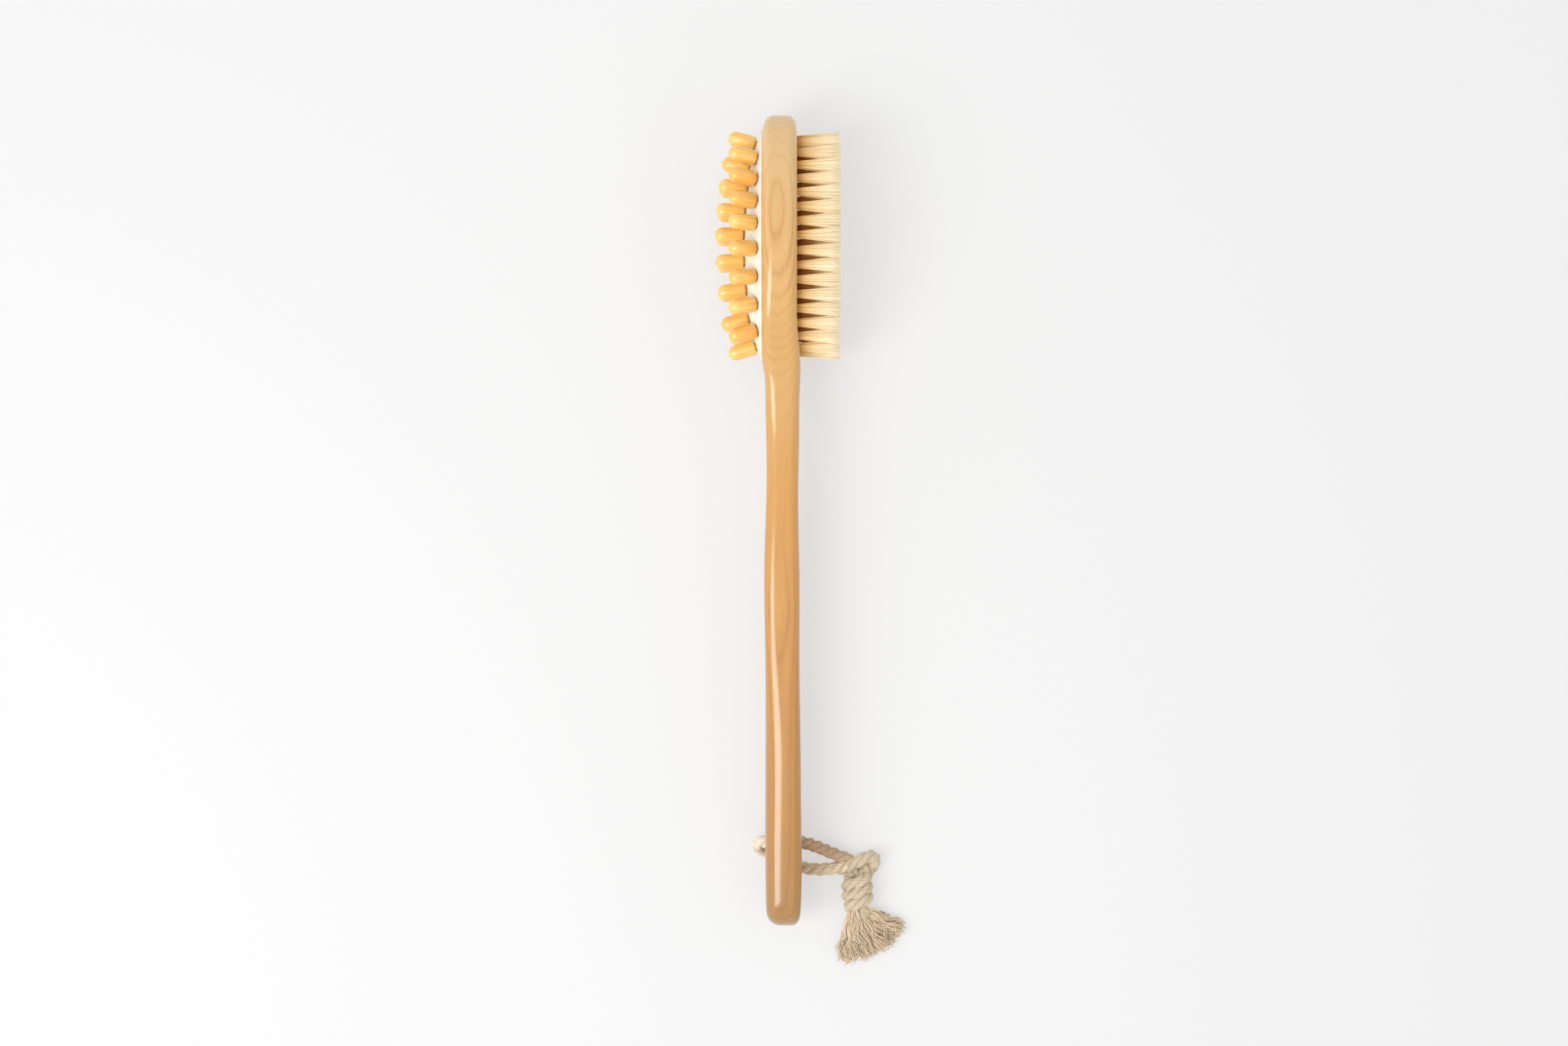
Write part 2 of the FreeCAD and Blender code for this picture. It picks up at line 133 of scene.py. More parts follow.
def grid_uv(u, v):
    """The UV pair at each corner of a closed grid's quads, in their order: u round it and v along it."""
    row, column = np.divmod(np.arange((len(v) - 1) * (len(u) - 1)), len(u) - 1)
    return np.stack([np.stack([u[column], u[column + 1], u[column + 1], u[column]], axis=1),
                     np.stack([v[row], v[row], v[row + 1], v[row + 1]], axis=1)], axis=-1)


def keep_values(piece, name, values):
    """Keeps one number at each point of the mesh, as an attribute that a material can read."""
    attribute = piece.data.attributes.new(name, "FLOAT", "POINT")
    attribute.data.foreach_set("value", np.asarray(values, np.float32))


def tidy_shell(piece):
    """Merges points that fall together at poles and seams, and turns all faces outwards."""
    shell = bmesh.new()
    shell.from_mesh(piece.data)
    bmesh.ops.remove_doubles(shell, verts=shell.verts, dist=1e-6)
    bmesh.ops.recalc_face_normals(shell, faces=shell.faces)
    shell.to_mesh(piece.data)
    shell.free()


print("a closed grid of 3 by 4 points has", len(grid_faces(3, 4, True)), "faces")


# %% Tubes along lines
def unit(vectors):
    """The vectors with length 1."""
    return vectors / np.linalg.norm(vectors, axis=-1, keepdims=True)


def side_and_up(ahead, across):
    """Two directions square to 'ahead': side is ahead crossed with 'across', up is side crossed with
    ahead."""
    side = unit(np.cross(ahead, across))
    return side, np.cross(side, ahead)


def full_turn(steps):
    """Angles at equal steps round a full turn, in radians."""
    return np.linspace(0, 2 * math.pi, steps, endpoint=False)


def tubes(name, lines, radii, sides, across, body, tones=None):
    """Round tubes along many lines at once. lines has shape (tubes, rings, 3) in metres, and radii fits
    (tubes, rings). Each ring is centre + r (cos a * side + sin a * up), square to the line. The UV map
    goes round each tube and along it, and tones keeps one number for each tube."""
    count, rings = lines.shape[:2]
    side, up = side_and_up(unit(np.gradient(lines, axis=1)), across)
    angle = full_turn(sides)[:, None]
    reach = np.broadcast_to(radii, (count, rings))[..., None, None]
    ring = np.cos(angle) * side[:, :, None] + np.sin(angle) * up[:, :, None]
    points = lines[:, :, None] + reach * ring
    one = grid_faces(rings, sides, True)
    first = np.arange(count)[:, None, None] * rings * sides
    walls = (one[None] + first).reshape(-1, 4)[:, ::-1]
    low = np.arange(sides)[None] + first[:, 0]
    high = (low + (rings - 1) * sides)[:, ::-1]
    corner = grid_uv(np.arange(sides + 1) / sides, np.arange(rings) / (rings - 1))[:, ::-1]
    uv = np.concatenate([np.tile(corner.reshape(-1, 2), (count, 1)), np.zeros((2 * count * sides, 2))])
    piece = make_piece(name, points, walls.tolist() + low.tolist() + high.tolist(), body, uv)
    if tones is not None:
        keep_values(piece, "tone", np.repeat(tones, rings * sides))
    return piece


print("a full turn in 4 steps:", full_turn(4).round(2))

# %% Shader helpers
def linear(hex_colour):
    """An sRGB hex colour as linear red, green, blue and full alpha: c / 12.92 for a dark channel, and
    ((c + 0.055) / 1.055) to the power 2.4 for the rest."""
    c = np.array([int(hex_colour[i:i + 2], 16) for i in (1, 3, 5)]) / 255
    return (*np.where(c <= 0.04045, c / 12.92, ((c + 0.055) / 1.055) ** 2.4).tolist(), 1.0)


def add(tree, kind, links=None, **settings):
    """Adds one node. links fills its inputs, by name or number, with a value or another node's output."""
    made = tree.nodes.new(kind)
    for name, value in settings.items():
        setattr(made, name, value)
    for socket, value in (links or {}).items():
        if isinstance(value, bpy.types.NodeSocket):
            tree.links.new(value, made.inputs[socket])
        else:
            made.inputs[socket].default_value = value
    return made


def new_material(name):
    """An empty material with its node tree."""
    material = bpy.data.materials.new(name)
    material.use_nodes = True
    material.node_tree.nodes.clear()
    return material, material.node_tree


def fill_ramp(ramp, stops):
    """Sets a colour ramp's stops from (place, hex colour) pairs."""
    marks = ramp.color_ramp.elements
    while len(marks) < len(stops):
        marks.new(0.5)
    for mark, (place, colour) in zip(marks, stops):
        mark.position = place
        mark.color = linear(colour)


print("middle grey is", round(linear("#808080")[0], 3), "in linear light")

# %% [markdown]
# The cord is natural cotton, laid from three strands. It leaves the knot, goes through the hole in the
# grip, over the edge, back under the grip and into the knot again. Its line is a NURBS curve, and its
# control points are the route points of the CAD tube, with the last two moved a little to meet the
# knot. The three strands wind round that line.

# %% Cord route
CORD_ROUTE = (
    (37.5, -173.9, 5.2),
    (30.0, -171.2, 6.8),
    (22.0, -166.6, 13.0),
    (13.0, -162.6, 19.6),
    (3.5, -161.6, 22.0),
    (-6.0, -162.0, 21.6),
    (-10.4, -163.6, 17.4),
    (-10.4, -166.9, 9.8),
    (-6.2, -170.4, 4.6),
    (1.5, -174.2, 3.3),
    (10.5, -178.0, 3.3),
    (19.5, -179.4, 3.6),
    (28.8, -178.6, 5.4),
    (36.8, -176.6, 9.0),
)


def curve_line(points):
    """The line of a NURBS curve with these control points, in metres, read from the curve itself."""
    data = bpy.data.curves.new("route", "CURVE")
    data.dimensions = "3D"
    data.resolution_u = 24
    spline = data.splines.new("NURBS")
    spline.points.add(len(points) - 1)
    control = np.c_[np.array(points) * 0.001, np.ones(len(points))]
    spline.points.foreach_set("co", control.ravel())
    spline.order_u = 3
    spline.use_endpoint_u = True
    bare = bpy.data.objects.new("route", data)
    mesh = bpy.data.meshes.new_from_object(bare)
    line = np.zeros(len(mesh.vertices) * 3)
    mesh.vertices.foreach_get("co", line)
    bpy.data.meshes.remove(mesh)
    bpy.data.objects.remove(bare)
    return line.reshape(-1, 3)


def evenly(line, count):
    """The same line with count points at equal steps, and its length."""
    steps = np.concatenate([[0], np.cumsum(np.linalg.norm(np.diff(line, axis=0), axis=1))])
    at = np.linspace(0, steps[-1], count)
    return np.stack([np.interp(at, steps, line[:, k]) for k in range(3)], axis=1), steps[-1]


# %% Laid strands
ALONG_Y = (0.0, 1.0, 0.0)
STRANDS = 3
STRAND_RADIUS = 0.00172
STRAND_OFFSET = 0.00158
ROPE_PITCH = 0.0165
CORD_RINGS, CORD_SIDES = 220, 14


def laid_strands(line, start=0.0):
    """Lines of the strands wound round a line: line + offset (cos a * side + sin a * up), where a grows
    by a full turn every pitch."""
    side, up = side_and_up(unit(np.gradient(line, axis=0)), ALONG_Y)
    step = np.linalg.norm(np.diff(line, axis=0), axis=1)
    turn = start + 2 * math.pi * np.concatenate([[0], np.cumsum(step)]) / ROPE_PITCH
    angle = turn[None] + np.arange(STRANDS)[:, None] * 2 * math.pi / STRANDS
    return (line[None] + STRAND_OFFSET * (np.cos(angle)[..., None] * side[None]
                                          + np.sin(angle)[..., None] * up[None]))


cord_line, cord_length = evenly(curve_line(CORD_ROUTE), CORD_RINGS)
cord = tubes("cotton_cord", laid_strands(cord_line), STRAND_RADIUS, CORD_SIDES, ALONG_Y, "brush_body")
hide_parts("hanging_cord")
print("cord length", round(cord_length * 1000, 1), "mm")

# %% [markdown]
# Both ends of the cord are tied together in one knot: the two ends run down its middle, about three
# turns of cord are wrapped round them, and a small ear of cord stands out on one side.

# %% Knot
def rope_along(points, count, start):
    """Three strands along a NURBS route, all with the same number of rings."""
    line, _ = evenly(curve_line(points), count)
    return laid_strands(line, start)


# The wrap follows a line on the floor plan, KNOT_HEIGHT above the floor, and tightens at its ends.
KNOT_FROM, KNOT_TO = np.array((40.6, -180.5)), np.array((41.2, -196.8))
KNOT_HEIGHT = 8.1
WRAP_REACH, WRAP_TIGHTER, WRAP_SLANT = 5.2, 0.9, 1.3
FIRST_TURN, LAST_TURN = -0.5, 2.6
wrap_turn = np.linspace(FIRST_TURN, LAST_TURN, 34)
wrap_share = (wrap_turn - FIRST_TURN) / (LAST_TURN - FIRST_TURN)
wrap_middle = KNOT_FROM + wrap_share[:, None] * (KNOT_TO - KNOT_FROM)
wrap_reach = WRAP_REACH - WRAP_TIGHTER * (2 * wrap_share - 1) ** 6
wrap = np.stack([wrap_middle[:, 0] + wrap_reach * np.cos(2 * math.pi * wrap_turn),
                 wrap_middle[:, 1] + WRAP_SLANT * np.cos(2 * math.pi * wrap_turn),
                 KNOT_HEIGHT + wrap_reach * np.sin(2 * math.pi * wrap_turn)], axis=1)
core_a = ((37.5, -173.9, 5.2), (39.4, -178.0, 6.4), (39.4, -188.0, 6.6), (39.4, -203.5, 4.6))
core_b = ((46.6, -173.4, 4.6), (45.4, -178.4, 7.4), (43.8, -184.5, 9.0), (42.8, -191.0, 8.4),
          (43.6, -203.0, 5.4))
ear = ((31.5, -178.4, 6.4), (36.8, -176.6, 9.0), (42.5, -173.2, 11.2), (48.2, -170.9, 9.0),
       (50.4, -173.6, 5.6), (48.6, -178.6, 4.8), (44.5, -182.0, 6.4))
knot_lines = np.concatenate([rope_along(route, 96, start) for route, start in
                             ((wrap, 0.0), (core_a, 1.0), (core_b, 2.0), (ear, 0.5))])
knot = tubes("cord_knot_turns", knot_lines, STRAND_RADIUS, 12, (0.12, 1.0, 0.18), "brush_body")
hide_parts("cord_knot")
print("knot strands", len(knot_lines))

# %% [markdown]
# Below the knot the strands are unlaid and combed out into a tassel of thin curly yarns that fans out
# on the floor. Each yarn is a line from the knot to a point on the fan's edge, with a wave that grows
# towards its free end. Yarns cling together in locks, so the yarns of a lock differ only a little.

# %% Tassel
def smoothstep(share):
    """0 at 0, 1 at 1 and flat at both ends: 3 s squared minus 2 s cubed."""
    s = np.clip(share, 0, 1)
    return s * s * (3 - 2 * s)


LOCKS, YARNS_EACH = 104, 10
YARNS = LOCKS * YARNS_EACH
rng = np.random.default_rng(7)
along = np.linspace(0, 1, 18)[None]


def each_yarn(per_lock, scatter):
    """One value for each yarn: its lock's value and a little scatter, as a column."""
    return (np.repeat(per_lock, YARNS_EACH) + rng.normal(0, scatter, YARNS))[:, None]


# The fan opens from down the brush to out at the side, in degrees, and its yarns get shorter that way.
FAN_FROM, FAN_TURN = -104, 76
YARN_LENGTH, SHORTER_ASIDE = 28.0, 4.2
ROOT_PLACE, ROOT_RUN = (37.4, -199.5), (7.4, 2.0)
WAVE_WIDE, WAVE_HIGH = 1.7, 1.2
LOWEST_YARN = 0.32
YARN_RADIUS = 0.00026
across_fan = (np.arange(LOCKS) + rng.random(LOCKS)) / LOCKS
rng.shuffle(across_fan)
spread = each_yarn(across_fan, 0.008)
fan_angle = np.radians(FAN_FROM + FAN_TURN * spread)
fan_length = (YARN_LENGTH - SHORTER_ASIDE * spread) * each_yarn(1 - 0.24 * rng.random(LOCKS) ** 2, 0.04)
root = (ROOT_PLACE[0] + ROOT_RUN[0] * spread, ROOT_PLACE[1] + ROOT_RUN[1] * spread,
        np.clip(each_yarn(rng.normal(6.0, 1.4, LOCKS), 0.4), 1, 10))
tip_height = np.clip(each_yarn(0.5 + 5.6 * rng.random(LOCKS) ** 1.5, 0.3), 0.4, 7)
curl = each_yarn(rng.random(LOCKS), 0.03) + each_yarn(1.0 + 1.7 * rng.random(LOCKS), 0.05) * along
wave = WAVE_WIDE * along ** 1.2 * np.sin(2 * math.pi * curl)
lift = WAVE_HIGH * along ** 1.2 * np.cos(2 * math.pi * curl)
fray = rng.normal(0, 0.5, (2, YARNS, 1)) * (0.6 + along)
yarns = np.stack([
    root[0] + fan_length * along * np.cos(fan_angle) - (wave + fray[0]) * np.sin(fan_angle),
    root[1] + fan_length * along * np.sin(fan_angle) + (wave + fray[0]) * np.cos(fan_angle),
    np.maximum(root[2] + (tip_height - root[2]) * smoothstep(along * 1.25) + lift + fray[1],
               LOWEST_YARN)], axis=-1)
yarn_radius = YARN_RADIUS * (1 - 0.3 * along) * (0.8 + 0.4 * rng.random((YARNS, 1)))
tassel = tubes("cord_tassel_yarns", yarns * 0.001, yarn_radius, 5, (0.0, 0.0, 1.0), "brush_body",
               rng.random(YARNS))
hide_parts("cord_tassel")
print("yarns", YARNS)

# %% [markdown]
# The stock is one piece of pale hardwood: an oval head, a narrow neck and a fuller grip with a round
# end. Its outline and its two faces are smooth curves through a few stations. The surface
# carries one profile all the way round the outline: flat face, rounded edge, side wall, rounded edge,
# flat face. A second step cuts the pocket for the cushion and the hole for the cord.

# %% Outline of the stock
def smooth_curve(at, knots, values, last_slope=None):
    """The smooth curve through the knots, read at each place: a cubic between each two knots, with the
    slopes at the knots chosen so that its bending has no jumps. It starts level, and its last slope is
    given or free."""
    knots, values = np.array(knots, float), np.array(values, float)
    step, rise = np.diff(knots), np.diff(values) / np.diff(knots)
    n = len(knots)
    system, known = np.zeros((n, n)), np.zeros(n)
    inner = np.arange(1, n - 1)
    system[inner, inner - 1], system[inner, inner + 1] = step[1:], step[:-1]
    system[inner, inner] = 2 * (step[1:] + step[:-1])
    known[inner] = 3 * (step[1:] * rise[:-1] + step[:-1] * rise[1:])
    system[0, 0] = 1
    if last_slope is None:
        system[-1, -2:], known[-1] = (1, 2), 3 * rise[-1]
    else:
        system[-1, -1], known[-1] = 1, last_slope
    slope = np.linalg.solve(system, known)
    i = np.clip(np.searchsorted(knots, at) - 1, 0, n - 2)
    t = (at - knots[i]) / step[i]
    return (values[i] * (1 + 2 * t) * (1 - t) ** 2 + values[i + 1] * t * t * (3 - 2 * t)
            + step[i] * (slope[i] * t * (1 - t) ** 2 - slope[i + 1] * t * t * (1 - t)))


JOIN = math.radians(122)
HALF_LENGTH, HALF_WIDTH = HEAD_LENGTH / 2, HEAD_WIDTH / 2
JOIN_Y, JOIN_Z = HEAD_Y + HALF_LENGTH * math.cos(JOIN), HALF_WIDTH * math.sin(JOIN)
# Half widths of the grip and the neck at places along the brush, as far as the head's oval.
SIDE_Y = (GRIP_CENTRE_Y, -70, 15, 60, 82, JOIN_Y)
SIDE_Z = (GRIP_RADIUS, 14.0, 12.1, 11.4, 17.0, JOIN_Z)
JOIN_SLOPE = -HALF_WIDTH * math.cos(JOIN) / (HALF_LENGTH * math.sin(JOIN))
# X of the two faces at stations down the handle, which are -Y, and at stations up to the head's tip.
BRISTLE_STATIONS = (-106, -92, -79, -66, -44, -16, 0, 24, 48, 75, 110, 145, 188, 203, 209)
BRISTLE_SIDE = (8.8, 9.6, 10.6, 10.25, 10.0, 9.55, 9.65, 10.15, 10.2, 10.2, 10.7, 11.05, 11.1, 10.0,
                9.0)
PEG_STATIONS = (-84, -75, -62, -44, -16, 0, 24, 48, 75, 110, 145, 188, 203, 209)
PEG_SIDE = (-8.8, -7.6, -7.1, -6.75, -6.6, -7.1, -7.7, -7.5, -7.1, -7.1, -7.2, -7.0, -6.2, -5.4)
TIP_STATIONS = (189.5, 199, 205, 209)
BRISTLE_TIP = (8.8, 8.4, 7.4, 6.2)
PEG_TIP = (-8.8, -8.0, -6.7, -5.2)


def bristle_face(y):
    """X of the face on the bristle side: level along the head, set over at the neck, full at the grip."""
    handle = smooth_curve(-y, BRISTLE_STATIONS, BRISTLE_SIDE)
    tip = smooth_curve(y, TIP_STATIONS, BRISTLE_TIP)
    return np.where(y < -BRISTLE_STATIONS[0], handle, np.where(y > TIP_STATIONS[0], tip, HALF_THICK))


def peg_face(y):
    """X of the face on the peg side: level along the head, then the handle's hollow side."""
    handle = smooth_curve(-y, PEG_STATIONS, PEG_SIDE)
    tip = smooth_curve(y, TIP_STATIONS, PEG_TIP)
    return np.where(y < -PEG_STATIONS[0], handle, np.where(y > TIP_STATIONS[0], tip, -HALF_THICK))


around_head = np.linspace(0, JOIN, 200)
down_side = np.linspace(JOIN_Y, GRIP_CENTRE_Y, 500)[1:]
around_end = np.linspace(math.pi / 2, math.pi, 100)[1:]
half_outline = np.stack([
    np.concatenate([HEAD_Y + HALF_LENGTH * np.cos(around_head), down_side,
                    GRIP_CENTRE_Y + GRIP_RADIUS * np.cos(around_end)]),
    np.concatenate([HALF_WIDTH * np.sin(around_head), smooth_curve(down_side, SIDE_Y, SIDE_Z, JOIN_SLOPE),
                    GRIP_RADIUS * np.sin(around_end)]),
    np.zeros(len(around_head) + len(down_side) + len(around_end))], axis=1)
half_outline, half_way = evenly(half_outline, 340)
outline = np.concatenate([half_outline[:, :2], (half_outline[1:-1, :2] * (1, -1))[::-1]])
print("outline length", round(2 * half_way, 1), "mm, narrowest half width",
      round(half_outline[(half_outline[:, 0] < 100) & (half_outline[:, 0] > 0), 1].min(), 2), "mm")

# %% Surface of the stock
EDGE_AT_HEAD = 5.0
EDGE_AT_GRIP = {"bristle side": 5.2, "peg side": 8.8}
EDGE_AT_TIP = 3.8
EDGE_AT_BUTT = {"bristle side": 3.6, "peg side": 6.2}
MIDDLE_END = HEAD_Y + 48
FACE_ROWS, EDGE_ROWS, WALL_ROWS = 8, 9, 7


def stock_points(outline):
    """Grid of points, rows across the thickness and columns round the outline. From the middle line to
    the edge the face is level. The rounded edge is a quarter circle of radius R: inset R (1 - sin a),
    drop R (1 - cos a). The side wall joins the two edges."""
    y = outline[:, 0]
    middle = np.stack([np.clip(y, GRIP_CENTRE_Y, MIDDLE_END), np.zeros(len(y))], axis=1)
    forward = unit(np.roll(outline, -1, axis=0) - np.roll(outline, 1, axis=0))
    outward = np.stack([-forward[:, 1], forward[:, 0]], axis=1)
    outward *= np.sign((outward * (outline - middle)).sum(axis=1, keepdims=True))
    faces = np.linspace(0, 1, FACE_ROWS)[:-1]
    edges = np.linspace(0, math.pi / 2, EDGE_ROWS)
    walls = np.linspace(0, 1, WALL_ROWS)[1:-1]
    rows = []
    for face_x, sign, side in ((bristle_face, 1, "bristle side"), (peg_face, -1, "peg side")):
        # The edge's radius changes over 80 mm from the grip to the head, and once more at each end.
        grip = EDGE_AT_GRIP[side]
        radius = grip + (EDGE_AT_HEAD - grip) * smoothstep((y + 125) / 80)
        radius += (EDGE_AT_TIP - radius) * smoothstep((y - 188) / 14)
        radius += (EDGE_AT_BUTT[side] - radius) * smoothstep((-190 - y) / 12)
        inner = outline - radius[:, None] * outward
        flat = middle[None] + (inner - middle)[None] * faces[:, None, None]
        flat = np.concatenate([face_x(flat[..., 0])[..., None], flat], axis=-1)
        inset = outline[None] - (radius[:, None] * (1 - np.sin(edges))[:, None, None]) * outward[None]
        drop = sign * radius * (1 - np.cos(edges))[:, None]
        round_edge = np.concatenate([(face_x(inset[..., 0]) - drop)[..., None], inset], axis=-1)
        rows.append(np.concatenate([flat, round_edge]))
    upper, lower = rows[0], rows[1][::-1]
    wall = upper[-1][None] + (lower[0] - upper[-1])[None] * walls[:, None, None]
    return np.concatenate([upper, wall, lower])


stock_grid = stock_points(outline)
stock = make_piece("lacquered_stock", set_down(stock_grid),
                   grid_faces(*stock_grid.shape[:2], True).tolist(), "brush_body")
tidy_shell(stock)
print("stock faces", len(stock.data.polygons))

# %% Pocket and cord hole
CUSHION_HALF = (57.8, 25.0)
RIM_GAP = 0.1
HOLE_RADIUS = 4.6
HOLE_FLARE = 1.5
PAST_FACE = 3
# X of the cutter's top above the wood, of the ledge for the cushion's rim and of the pocket's floor.
CUTTER_TOP, LEDGE, POCKET_FLOOR = -12, -7.2, -4.3
# The pocket is narrower than the ledge, by this factor.
POCKET_SHARE = 0.957


def turned_shape(along_axis, radii, sides, stretch=(1.0, 1.0)):
    """A closed shape turned about the X axis: at each place along it a ring y = r cos a, z = r sin a,
    stretched by two factors. It starts and ends at radius 0."""
    angle = full_turn(sides)
    r = np.array(radii, float)[:, None]
    x = np.broadcast_to(np.array(along_axis, float)[:, None], (len(radii), sides))
    return np.stack([x, stretch[0] * r * np.cos(angle), stretch[1] * r * np.sin(angle)], axis=-1)


def cut_away(piece, shapes):
    """Cuts closed shapes that stand apart out of a piece, with one exact boolean, applied at once."""
    sizes = [rings * sides for rings, sides, _ in (shape.shape for shape in shapes)]
    first = np.cumsum([0] + sizes[:-1])
    faces = np.concatenate([grid_faces(*shape.shape[:2], True) + start
                            for shape, start in zip(shapes, first)])
    points = np.concatenate([shape.reshape(-1, 3) for shape in shapes])
    tool = make_piece("tool", set_down(points), faces.tolist(), "brush_body")
    tidy_shell(tool)
    cut = piece.modifiers.new("cut", "BOOLEAN")
    cut.operation = "DIFFERENCE"
    cut.solver = "EXACT"
    cut.object = tool
    cut_mesh = bpy.data.meshes.new_from_object(piece.evaluated_get(bpy.context.evaluated_depsgraph_get()))
    piece.modifiers.clear()
    piece.data = cut_mesh
    bpy.data.objects.remove(tool)


flare = np.linspace(0, math.pi / 2, 7)
left_x, right_x = peg_face(np.array([HOLE_Y]))[0], bristle_face(np.array([HOLE_Y]))[0]
rim_r = HOLE_RADIUS + HOLE_FLARE * (1 - np.cos(flare))
hole_x = np.concatenate([[left_x - PAST_FACE] * 2, left_x + HOLE_FLARE - HOLE_FLARE * np.sin(flare[::-1]),
                         right_x - HOLE_FLARE + HOLE_FLARE * np.sin(flare), [right_x + PAST_FACE] * 2])
hole_r = np.concatenate([[0, rim_r[-1]], rim_r[::-1], rim_r, [rim_r[-1], 0]])
hole = turned_shape(hole_x, hole_r, 48) + (0, HOLE_Y, 0)
pocket = turned_shape((CUTTER_TOP, CUTTER_TOP, LEDGE, LEDGE, POCKET_FLOOR, POCKET_FLOOR),
                      (0, 1, 1, POCKET_SHARE, POCKET_SHARE, 0), 128,
                      (CUSHION_HALF[0] + RIM_GAP, CUSHION_HALF[1] + RIM_GAP)) + (0, HEAD_Y, 0)
cut_away(stock, (pocket, hole))
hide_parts("wooden_body")
print("stock faces after cutting", len(stock.data.polygons))

# %% [markdown]
# The cushion is a hollow dome of cream rubber, moulded with a thick rim that is let into the wood. Air
# under it lets the pegs give. The dome is one profile carried round an oval, with a small dimple where each
# peg pulls it in and a hole for each peg's stem.

# %% Where the pegs stand
RIM_PROUD = 0.6
CUSHION_RISE = 9.4
BALL_RADIUS = (CUSHION_HALF[1] ** 2 + CUSHION_RISE ** 2) / (2 * CUSHION_RISE)
BALL_DEPTH = BALL_RADIUS - CUSHION_RISE
STRETCH = CUSHION_HALF[0] / CUSHION_HALF[1]
# Two rows of pegs a side: the outer row keeps to an oval, and each row has a peg at either end.
OUTER_OVAL_Y, OUTER_OVAL_Z = 51.5, 21.0
outer_y = np.array((42.0, 31.5, 20.5, 9.5, -3.0, -16.5, -30.0, -43.0))
outer_z = OUTER_OVAL_Z * np.sqrt(1 - (outer_y / OUTER_OVAL_Y) ** 2)
inner_y = np.array((27.4, 16.0, 4.5, -8.3, -22.5))
inner_z = np.array((6.3, 7.0, 7.0, 7.0, 6.6))
peg_y = np.concatenate([[50.5], outer_y, [-50.5], outer_y[::-1], [38.7], inner_y, [-37.0], inner_y[::-1]])
peg_z = np.concatenate([[0], outer_z, [0], -outer_z[::-1], [0], inner_z, [0], -inner_z[::-1]])
peg_high = np.sqrt(BALL_RADIUS ** 2 - (peg_y / STRETCH) ** 2 - peg_z ** 2)
peg_point = np.stack([-HALF_THICK - RIM_PROUD - (peg_high - BALL_DEPTH), HEAD_Y + peg_y, peg_z], axis=1)
peg_out = unit(np.stack([-peg_high, peg_y / STRETCH ** 2, peg_z], axis=1))
print("pegs", len(peg_y))

# %% Cushion
DOME_ROWS, CUSHION_SIDES = 60, 200
DOME_SHARE, BEAD_SHARE, BEAD_DROP = 0.985, 0.015, 0.7
HOLLOW_SHARE, HOLLOW_RISE = 0.9, 7.6
RIM_INSIDE, RIM_FOOT = 0.905, -RIM_PROUD - 1.4
DIMPLE_DEPTH, DIMPLE_WIDTH = 0.45, 4.6


def cushion_points():
    """Rings of an oval, from the crown outwards, over the rim's bead, down into the wood and back up the
    hollow inside. On the dome x = -(sqrt(R^2 - (25 s)^2) - depth), with s from 0 to 1."""
    share = np.linspace(0, 1, DOME_ROWS) ** 0.8 * DOME_SHARE
    dome = np.sqrt(BALL_RADIUS ** 2 - (CUSHION_HALF[1] * share) ** 2) - BALL_DEPTH
    bead = np.linspace(0, math.pi / 2, 7)
    bead_share = DOME_SHARE + BEAD_SHARE * np.sin(bead)
    bead_rise = dome[-1] - BEAD_DROP * (1 - np.cos(bead))
    inside = np.linspace(HOLLOW_SHARE, 0, 24)
    wall = HOLLOW_RISE * (1 - (inside / HOLLOW_SHARE) ** 2)
    shares = np.concatenate([share, bead_share, [1.0, RIM_INSIDE], inside])
    rises = np.concatenate([dome, bead_rise, [RIM_FOOT, RIM_FOOT], wall - RIM_PROUD])
    angle = full_turn(CUSHION_SIDES)
    y = CUSHION_HALF[0] * shares[:, None] * np.cos(angle)
    z = CUSHION_HALF[1] * shares[:, None] * np.sin(angle)
    away = np.hypot(y[..., None] - peg_y, z[..., None] - peg_z)
    on_dome = np.arange(len(shares)) < DOME_ROWS
    dimple = DIMPLE_DEPTH * np.exp(-(away / DIMPLE_WIDTH) ** 2).sum(axis=-1) * on_dome[:, None]
    x = -HALF_THICK - RIM_PROUD - rises[:, None] + dimple
    return np.stack([x, HEAD_Y + y, z], axis=-1)


def rings_about(point, out, height, radius, sides):
    """Rings round a line: at each height h a ring point + out h + r (cos a * side + sin a * up)."""
    side, up = side_and_up(out, ALONG_Y)
    angle = full_turn(sides)[None, :, None]
    ring = np.cos(angle) * side + np.sin(angle) * up
    return point + height[:, None, None] * out + radius[:, None, None] * ring


STEM_RADIUS = 2.4
STEM_HOLE = STEM_RADIUS + 0.3
HOLE_HEIGHTS = np.array([-3.7, -3.7, 1.6, 1.6])
cushion_grid = cushion_points()
cushion = make_piece("rubber_dome", set_down(cushion_grid),
                     grid_faces(*cushion_grid.shape[:2], True).tolist(), "brush_body")
tidy_shell(cushion)
cut_away(cushion, [rings_about(point, out, HOLE_HEIGHTS, np.array([0, STEM_HOLE, STEM_HOLE, 0]), 24)
                   for point, out in zip(peg_point, peg_out)])
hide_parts("rubber_cushion")
print("cushion faces", len(cushion.data.polygons))

# %% [markdown]
# Each peg is turned in one piece: a foot under the rubber, a thin stem through it, and a straight body
# with a rounded shoulder and a ball tip. It rides on its own body, so that it can rock. The grain runs
# up the peg, so its finish follows the piece's own UV map.

# %% Pegs
PEG_RADIUS, PEG_HEIGHT, PEG_SIDES = 4.15, 14.4, 36
PEG_GAP = 0.4
SHOULDER_ROUND, TIP_ROUND = 1.5, 3.9
FOOT_LOW, FOOT_TOP, FOOT_RADIUS = -4.0, -2.4, 3.4


